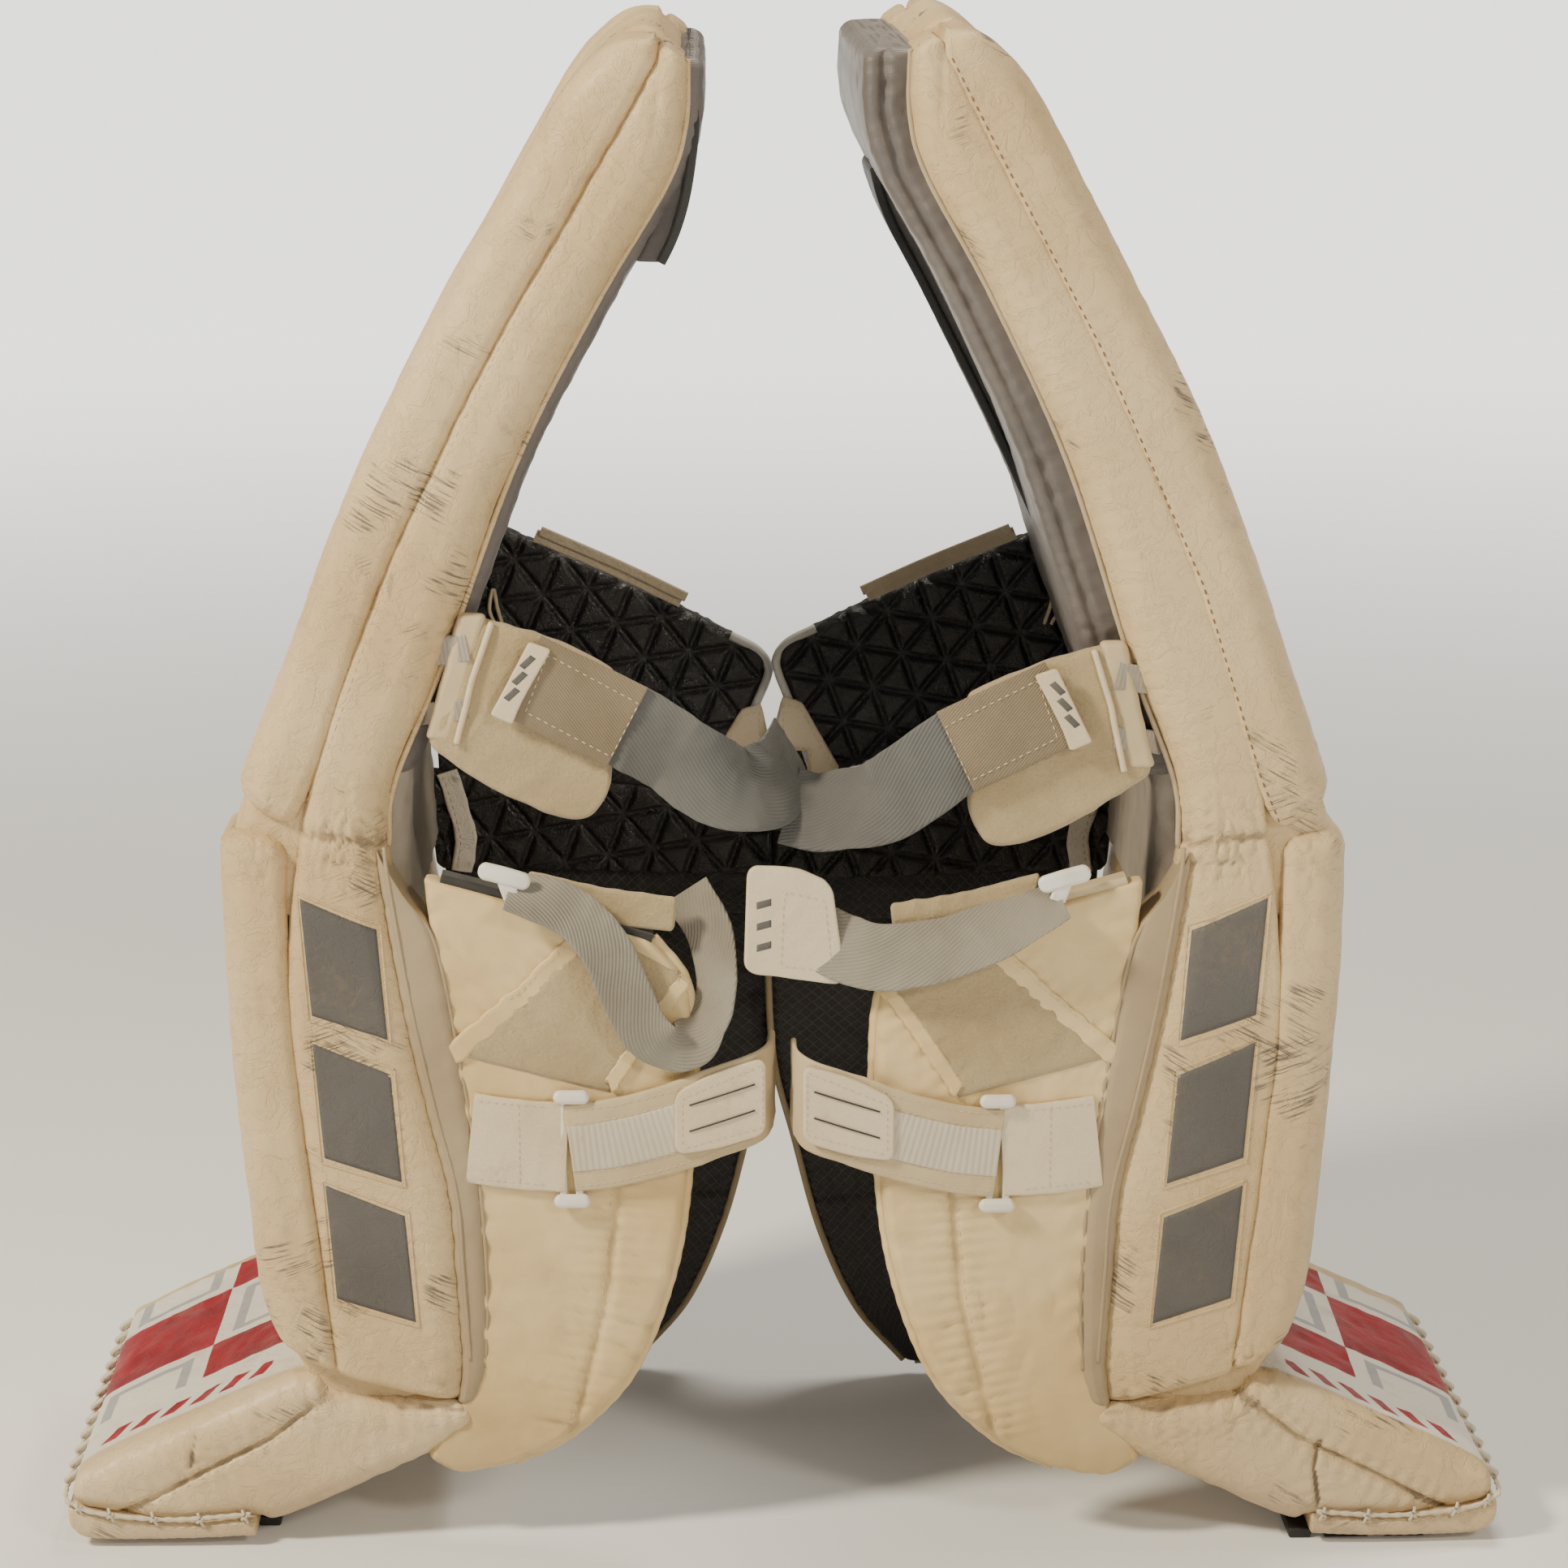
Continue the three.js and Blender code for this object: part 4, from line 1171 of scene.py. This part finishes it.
# The twisted elastics: where each runs, and where its face turns.
ELASTIC_RUNS = {
    "left": (
        [(149, -135.5, 487), (122, -136.5, 475), (98, -137, 464), (72, -138, 451), (50, -141, 437),
         (34, -138, 430), (18, -128, 428), (8, -116, 436), (6, -104, 452)],
        [OUT, OUT, OUT, (0.1, -1, 0.1), (0.5, -0.85, 0.15), (0.1, -1, 0.3), (-0.2, -0.8, 0.5),
         (-0.7, -0.6, 0.4), (-1, -0.2, 0.2)],
    ),
    "right": (
        [(149, -135.5, 487), (122, -136.5, 475), (98, -137, 464), (74, -136, 447),
         (54, -129, 432), (34, -114, 424), (18, -107, 421), (4, -104, 424)],
        [OUT, OUT, OUT, (0, -1, 0.05), (0.1, -1, 0.2), (0.2, -0.9, 0.4)] + [(0.3, -0.8, 0.5)] * 2,
    ),
}


def knee_strap(side, seed):
    """The fleece wrap at the knee, its keepers, and the elastic that is stitched to it."""
    add = partial(put, side=side, body="knee_strap_body")
    rise = STRAP_RISE[side]
    back = -0.3 * rise

    def up(points):
        return [(p[0] + back, *p[1:-1], p[-1] + rise) for p in points]

    droop = stuffed(seed, 1.0, 1.2)
    low = [(200, 446), (166, 424), (132, 409), (112, 408), (100, 424)]
    top = [(182, 519), (146, 510), (118, 499), (98, 489)]
    wrap = slab(up(low), up(top), -132, -123.5, (3.5,) * 4, (4, 6), 110, (40, 4, 4), droop)
    add("fleece_wrap", wrap, FLEECE, ["fleece_wrap"], 0.6)
    hem = on_surface(wrap, up([(184, 448), (176, 485), (167, 514)]), 1.2, 40)
    add("wrap_hem", tube(hem, 1.8, 8, 60), TAB_LEATHER)
    lip = [(198, 449), (181, 519)]
    edge_band = slab(
        up(shifted(lip, -11)), up(shifted(lip, 3)), -133, -124, (3, 3, 3, 3), (3, 3), 40, (14, 4, 3),
        stuffed(seed + 1, 0.4, 1.0))
    add("wrap_edge", edge_band, STRAP_EDGE)
    for k, (low, wide) in enumerate(((-10, 12), (24, 15))):
        path = up([
            (206, -120, 470 + low), (198, -127, 473 + low), (188, -131.5, 475 + low),
            (179, -133.5, 477 + low)])
        keeper = band(path, wide, 1.8, count=40, relief=stuffed(seed + k, 0, 0.8))
        piece = put(f"keeper_{k}", keeper, KEEPER, part="thigh", side=side)
        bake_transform(piece)
    base, turns = ELASTIC_RUNS[side]
    relief = stuffed(seed + 4, 0, 1.0)
    ribbon = band(up(base), 47, 1.8, turns, count=190, counts=(26, 2, 2), relief=relief)
    add("knee_elastic", ribbon, ELASTIC, ["knee_elastic"])
    panel = [(150, -138, 488), (124, -139, 476), (92, -139.2, 461)]
    panel_body = band(up(panel), 49, 1.8, count=60, counts=(26, 2, 2), relief=stuffed(seed + 6, 0, 0.5))
    add("stitched_panel", panel_body, PANEL_WEAVE)
    dashes = up([(147, 468), (96, 443), (84, 474), (136, 500), (147, 468)])
    sew(add, "panel_thread", on_surface(panel_body, dashes, 0.2, 200), gap=2.0)
    pull = slab(
        up([(166, 466), (160, 478), (146, 507)]), up([(154, 461), (148, 476), (134, 503)]), -142, -138.6,
        (1, 1, 1, 1), (2, 2), 30, (8, 3, 3))
    add("pull_tab", pull, TAB_LEATHER, ["pull_tab"])
    for k, z in enumerate((474, 483, 492)):
        x = 156 - 4 * k
        mark = patch(pull, up([(x, z), (x + 3, z + 2), (x - 3, z + 8), (x - 6, z + 6)]), 0.3, (6, 4))
        add(f"pull_mark_{k}", mark, GREY_PRINT)


def calf_flap(side, seed):
    """The outer flap over the calf, with its fleece patch, tapes, tab and hook."""
    add = partial(put, side=side, body="calf_flap_body")
    diagonal = [(103, 362), (140, 325), (184, 286)]
    second = [(52, 334), (74, 304), (96, 270)]
    upright = [(90, 232), (98, 148), (118, 64)]
    dents = [((120, -136, 300), 70, 1.4, 22), ((130, -136, 110), 80, 1.6, 30)]
    seams = [(diagonal, 1.6, 3.0), (second, 1.2, 2.6), (upright, 2.0, 3.2, 0.75, 7.0, 20.0)]
    flap = slab(
        FLAP_FREE, FLAP_FRONT, -136, -121, (6, 4, 4, 6), (8, 3), 180, (90, 4, 5),
        stuffed(seed, 2.0, 0.5, dents, seams, pucker_edges=0.6))
    add("calf_flap", flap, NYLON, ["calf_flap"], 0.6)
    fleece_patch = patch(flap, [(56, 332), (103, 360), (176, 287), (96, 266)], 1.6, (50, 34))
    add("loop_patch", fleece_patch, FLEECE, ["loop_patch"])
    for name, line, wide in (("flap_bind", diagonal, 11), ("flap_bind_low", second, 8)):
        path = on_surface(flap, line, 1.9, 60)
        tape = band(path, wide, 2.4, OUT, count=60, relief=stuffed(seed + 2, 0, 0.9))
        add(name, tape, NYLON)
        sew(add, name + "_thread", path + (2.2, -1.3, 2.2), gap=2.0)
    thread_line = on_surface(flap, shifted(upright, 3), 0.1, 150)
    sew(add, "flap_thread", thread_line, 2.6, 2.2, 0.32)
    top_edge = [(72, -128, 352), (110, -128, 364), (147, -128, 376), (187, -128, 387)]
    tape, slot = (BLACK_TAPE, "black_leather") if side == "left" else (STRAP_EDGE, "cream_nylon")
    add("flap_top_binding", band(top_edge, 14.5, 5, (0, 0, 1), count=60, edge=1.8), tape, slot=slot)
    free = [(x - 0.5, -128, z) for x, z in FLAP_FREE[1:]]
    add("flap_free_binding", tube(free, 3.2, 8, 200, 0.05), NYLON)
    tab = band(
        [(173, -137.6, 240), (160, -139, 238.5), (146, -140, 237), (119.5, -141, 235.6)], 52, 2.6,
        count=50, counts=(24, 2, 2), relief=stuffed(seed + 7, 0, 0.7))
    add("calf_tab", tab, TAB_LEATHER, ["calf_tab"])
    lines = [(146, 214), (146, 261)], [(170, 262), (131, 259)], [(170, 217), (131, 214)]
    rows = [stitches(on_surface(tab, line, 0.15, 60), 2.4, 1.8, 0.35) for line in lines]
    add("flap_tab_thread", joined(*rows), WHITE_THREAD)
    bar = band([(138, -141, 386), (152, -143, 391), (166, -141, 394)], 10, 5, OUT, (4.5, 4.5), edge=2.2)
    stem = band([(148, -142, 378), (152, -143, 390)], 9, 3, OUT, (1, 1))
    add("strap_hook", joined(bar, stem), WHITE_PLASTIC, ["strap_hook"])


# The hanging lower straps: where each runs, where its face turns, and its width.
LOWER_STRAPS = {
    "right": (
        [(150, -142, 380), (112, -143, 361), (76, -144, 350), (46, -140, 348), (16, -129, 357),
         (-10, -122, 366)],
        [(0, -0.4, 0.9), (0, -0.8, 0.6), (0, -1, 0.25), (0, -1, 0.2)], 36,
    ),
    "left": (
        [(150, -142, 382), (118, -143.5, 372), (98, -147.5, 352), (86, -150, 325), (74, -150, 302),
         (59, -147.5, 294), (43, -142, 304), (37, -136, 325), (40, -124, 352), (54, -112, 374)],
        [(0, -0.5, 0.85), (-0.5, -1, 0.3), (-0.3, -1, -0.1), (0, -1, -0.2), (0.9, -0.8, -0.1),
         (0.6, -1, 0.1), OUT], 28,
    ),
}


def lower_strap(side, seed):
    """The light elastic that hangs from the hook; the right one ends in a plate."""
    add = partial(put, side=side, body="calf_flap_body")
    path, facing, width = LOWER_STRAPS[side]
    strap = band(path, width, 1.6, facing, count=160, counts=(18, 2, 2), relief=stuffed(seed, 0, 1.0))
    add("lower_strap", strap, LIGHT_ELASTIC, ["lower_strap"])
    if side == "right":
        plate = slab(
            [(-22, 338), (4, 334), (34, 330)], [(-20, 398), (6, 396), (26, 388)], -137, -133.5,
            (1.2,) * 4, (7, 7), 60, (26, 3, 3), stuffed(seed + 2, 0, 0.6))
        add("strap_plate", plate, TAB_LEATHER)
        inner = [(-2, 342), (26, 338), (22, 378), (0, 384), (-2, 342)]
        sew(add, "plate_thread", on_surface(plate, inner, 0.2))
        for k, z in enumerate((350, 362, 374)):
            mark = patch(plate, [(-15, z), (-7, z + 2), (-7, z + 6), (-15, z + 4)], 0.25, (6, 4))
            add(f"plate_mark_{k}", mark, GREY_PRINT)
    tail = slab(
        [(60, 356), (100, 361), (136, 372)], [(58, 374), (98, 380), (140, 390)], -131, -127, (1.5,) * 4,
        (3, 3), 50, (16, 3, 3), stuffed(seed + 4, 0, 1.2))
    add("strap_backing", tail, FLEECE)


def calf_strap(side, seed):
    """The ribbed strap round the calf, its end plate and its ring."""
    add = partial(put, side=side, body="calf_strap_body")
    path = [
        (118, -141.5, 235), (94, -142, 238), (66, -142.2, 245), (40, -141.4, 254), (18, -139.5, 262),
        (8, -128, 266), (6, -108, 268)]
    strap = band(path, 50, 2.6, count=120, counts=(28, 3, 3), relief=stuffed(seed, 0, 0.7))
    add("calf_strap", strap, STRAP_EDGE, ["calf_strap"])
    centre = band([(x, y - 1.5, z) for x, y, z in path[:4]], 27, 1.6, count=60, counts=(18, 2, 2))
    add("strap_centre", centre, RIBBED)
    rows = []
    for off in (-22, -14.6, 14.6, 22):
        line = [(x, z + off) for x, _, z in path[:5]]
        rows.append(stitches(on_surface(strap, line, 0.15, 130), 2.6, 1.8, 0.32))
    add("strap_thread", joined(*rows), WHITE_THREAD)
    for k, z in enumerate((246, 261)):
        slit = tube([(52, -146.7, z), (34, -147.2, z + 6), (16, -146.9, z + 12)], 0.5, 6, 20)
        add(f"end_slit_{k}", slit, BLACK_TAPE)
    end = slab(
        [(60, 232), (36, 236), (10, 244)], [(60, 268), (36, 280), (10, 288)], -146.4, -143.2, (1.2,) * 4,
        (6, 6), 60, (26, 3, 3))
    add("strap_end", end, TAB_LEATHER, ["calf_strap_end"])
    frame_thread = [(56, 236), (12, 248), (12, 284), (56, 265), (56, 236)]
    sew(add, "end_thread", on_surface(end, frame_thread, 0.15, 160), 2.4, 1.8, 0.3)
    ring = [band([(x, -140.4, 206), (x, -140.4, 264)], 4, 3, OUT, (1, 1), edge=1.3) for x in (113, 122)]
    for z in (205, 265):
        ring.append(band([(107, -143, z), (117, -143.4, z), (127, -143, z)], 8, 6, OUT, (4, 4), edge=2.8))
    add("calf_ring", joined(*ring), WHITE_PLASTIC, ["calf_ring"])


def inner_flap(side, seed):
    """The quilted black flap on the far side of the calf."""
    add = partial(put, side=side, body="inner_flap_body")
    quilts = [
        ([(12, 250), (90, 212), (180, 214)], 1.8, 2.6), ([(28, 120), (100, 130), (172, 118)], 1.8, 2.6),
        ([(70, 320), (96, 212), (110, 20)], 1.2, 2.4)]
    flap = slab(
        INNER_FREE, INNER_FRONT, 119, 132.5, (5, 4, 4, 5), (4, 3), 130, (60, 5, 5),
        stuffed(seed, 2.0, 1.2, seams=quilts, pucker_edges=0.6))
    add("inner_flap", flap, RIPSTOP, ["inner_flap"], 0.6)
    free = [(x - 1, 125.5, z) for x, z in INNER_FREE]
    add("inner_flap_binding", band(free, 15, 4, (-1, 0, 0), count=120, edge=1.8), TAN_BINDING)
    hem = [(x, 125.5, z) for x, z in INNER_FRONT[:4]]
    add("inner_flap_hem", band(hem, 15, 4, (0.5, 0, -1), count=60, edge=1.8), TAN_BINDING)


def fillers(side, seed):
    """Soft leather that fills the knee and ankle breaks."""
    knee = slab(
        [(226, 366), (226, 404), (225, 436)], [(298, 366), (299, 410), (289, 442)], -133, 133,
        (12, 12, 12, 12), (3, 3), 30, (20, 40, 5), stuffed(seed, 0, 1.0))
    over_knee(side, "knee_filler", knee, WHITE_LEATHER, fill=0.8)
    channel = slab(
        [(203, 352), (206, 404), (204, 446)], [(228, 352), (228, 404), (226, 446)], -112, 118,
        (9, 3, 3, 9), (3, 3), 50, (12, 40, 5), stuffed(seed + 2, 0, 2.0))
    over_knee(side, "channel_filler", channel, LIGHT_LINING, fill=0.8)
    ankle = slab(
        [(186, 74), (222, 78), (248, 84), (262, 90)], [(188, 92), (220, 98), (252, 112), (280, 122)],
        -128, 128, (6, 6, 6, 6), (5, 5), 30, (20, 50, 5), stuffed(seed + 1, 0, 1.4))
    piece = put("ankle_filler", ankle, WHITE_LEATHER, fill=0.8, side=side)
    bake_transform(piece)


for number, side in enumerate(SIDES):
    seed = 100 + 50 * number
    wall = walls(side, seed + 20)
    shin(side, seed)
    thigh(side, seed + 25, wall)
    side_marks(side, wall)
    boot(side, seed + 3)
    knee_wing(side, seed + 6)
    landing(side, seed + 8)
    knee_strap(side, seed + 10)
    calf_flap(side, seed + 12)
    lower_strap(side, seed + 14)
    calf_strap(side, seed + 16)
    inner_flap(side, seed + 17)
    fillers(side, seed + 18)


# ---------------------------------------------------------------- floor, light and camera


def floor_material():
    """Pale floor, brighter away from the pads so that the backdrop stays white behind them."""
    shade = Shade("pale_floor")
    shade.bump(shade.noise(60, 5), 0.0006, 0.3)
    color = shade.mix(shade.noise(2.5, 4), (0.84, 0.86, 0.88), (0.81, 0.83, 0.85))
    away = shade.add_fed("VectorMath", shade.place, operation="LENGTH").outputs["Value"]
    glow = shade.mix(shade.step(away, 0.9, 5.0), (0.025, 0.0245, 0.0235), (1.0, 0.985, 0.96))
    return shade.finish(color, 0.75, Emission_Color=glow, Emission_Strength=2.0)


FLOOR_SIZE = 90
WORLD_COLOR, WORLD_STRENGTH = (1.0, 0.925, 0.81, 1), 0.21

bpy.ops.mesh.primitive_plane_add(size=FLOOR_SIZE, location=(0, 0, 0))
floor = bpy.context.object
floor.name = "floor"
floor.data.materials.append(floor_material())

world = bpy.context.scene.world or bpy.data.worlds.new("studio")
bpy.context.scene.world = world
world.use_nodes = True
background = world.node_tree.nodes["Background"]
background.inputs["Color"].default_value = WORLD_COLOR
background.inputs["Strength"].default_value = WORLD_STRENGTH


def area_light(name, location, target, size, power, color):
    data = bpy.data.lights.new(name, "AREA")
    data.shape, data.size, data.energy, data.color = "DISK", size, power, color
    lamp = bpy.data.objects.new(name, data)
    bpy.context.scene.collection.objects.link(lamp)
    lamp.location = location
    lamp.rotation_euler = (Vector(target) - Vector(location)).to_track_quat("-Z", "Y").to_euler()


area_light("key", (-1.9, -1.1, 2.15), (0, 0, 0.5), 0.45, 98, (1.0, 0.875, 0.66))
area_light("fill", (1.6, -2.3, 1.9), (0, 0, 0.4), 0.5, 31, (1.0, 0.885, 0.69))
area_light("top", (0.4, 0.6, 2.7), (0, 0, 0.5), 0.9, 40, (1.0, 0.925, 0.78))

LENS, SENSOR = 100.6, 36
CAMERA_PLACE, CAMERA_TILT = (0.00273, -2.4376, 1.0), 13.64
camera_data = bpy.data.cameras.new("camera")
camera_data.lens, camera_data.sensor_width = LENS, SENSOR
camera = bpy.data.objects.new("camera", camera_data)
camera.location = CAMERA_PLACE
camera.rotation_euler = (math.radians(90 - CAMERA_TILT), 0, 0)
bpy.context.scene.collection.objects.link(camera)
bpy.context.scene.camera = camera
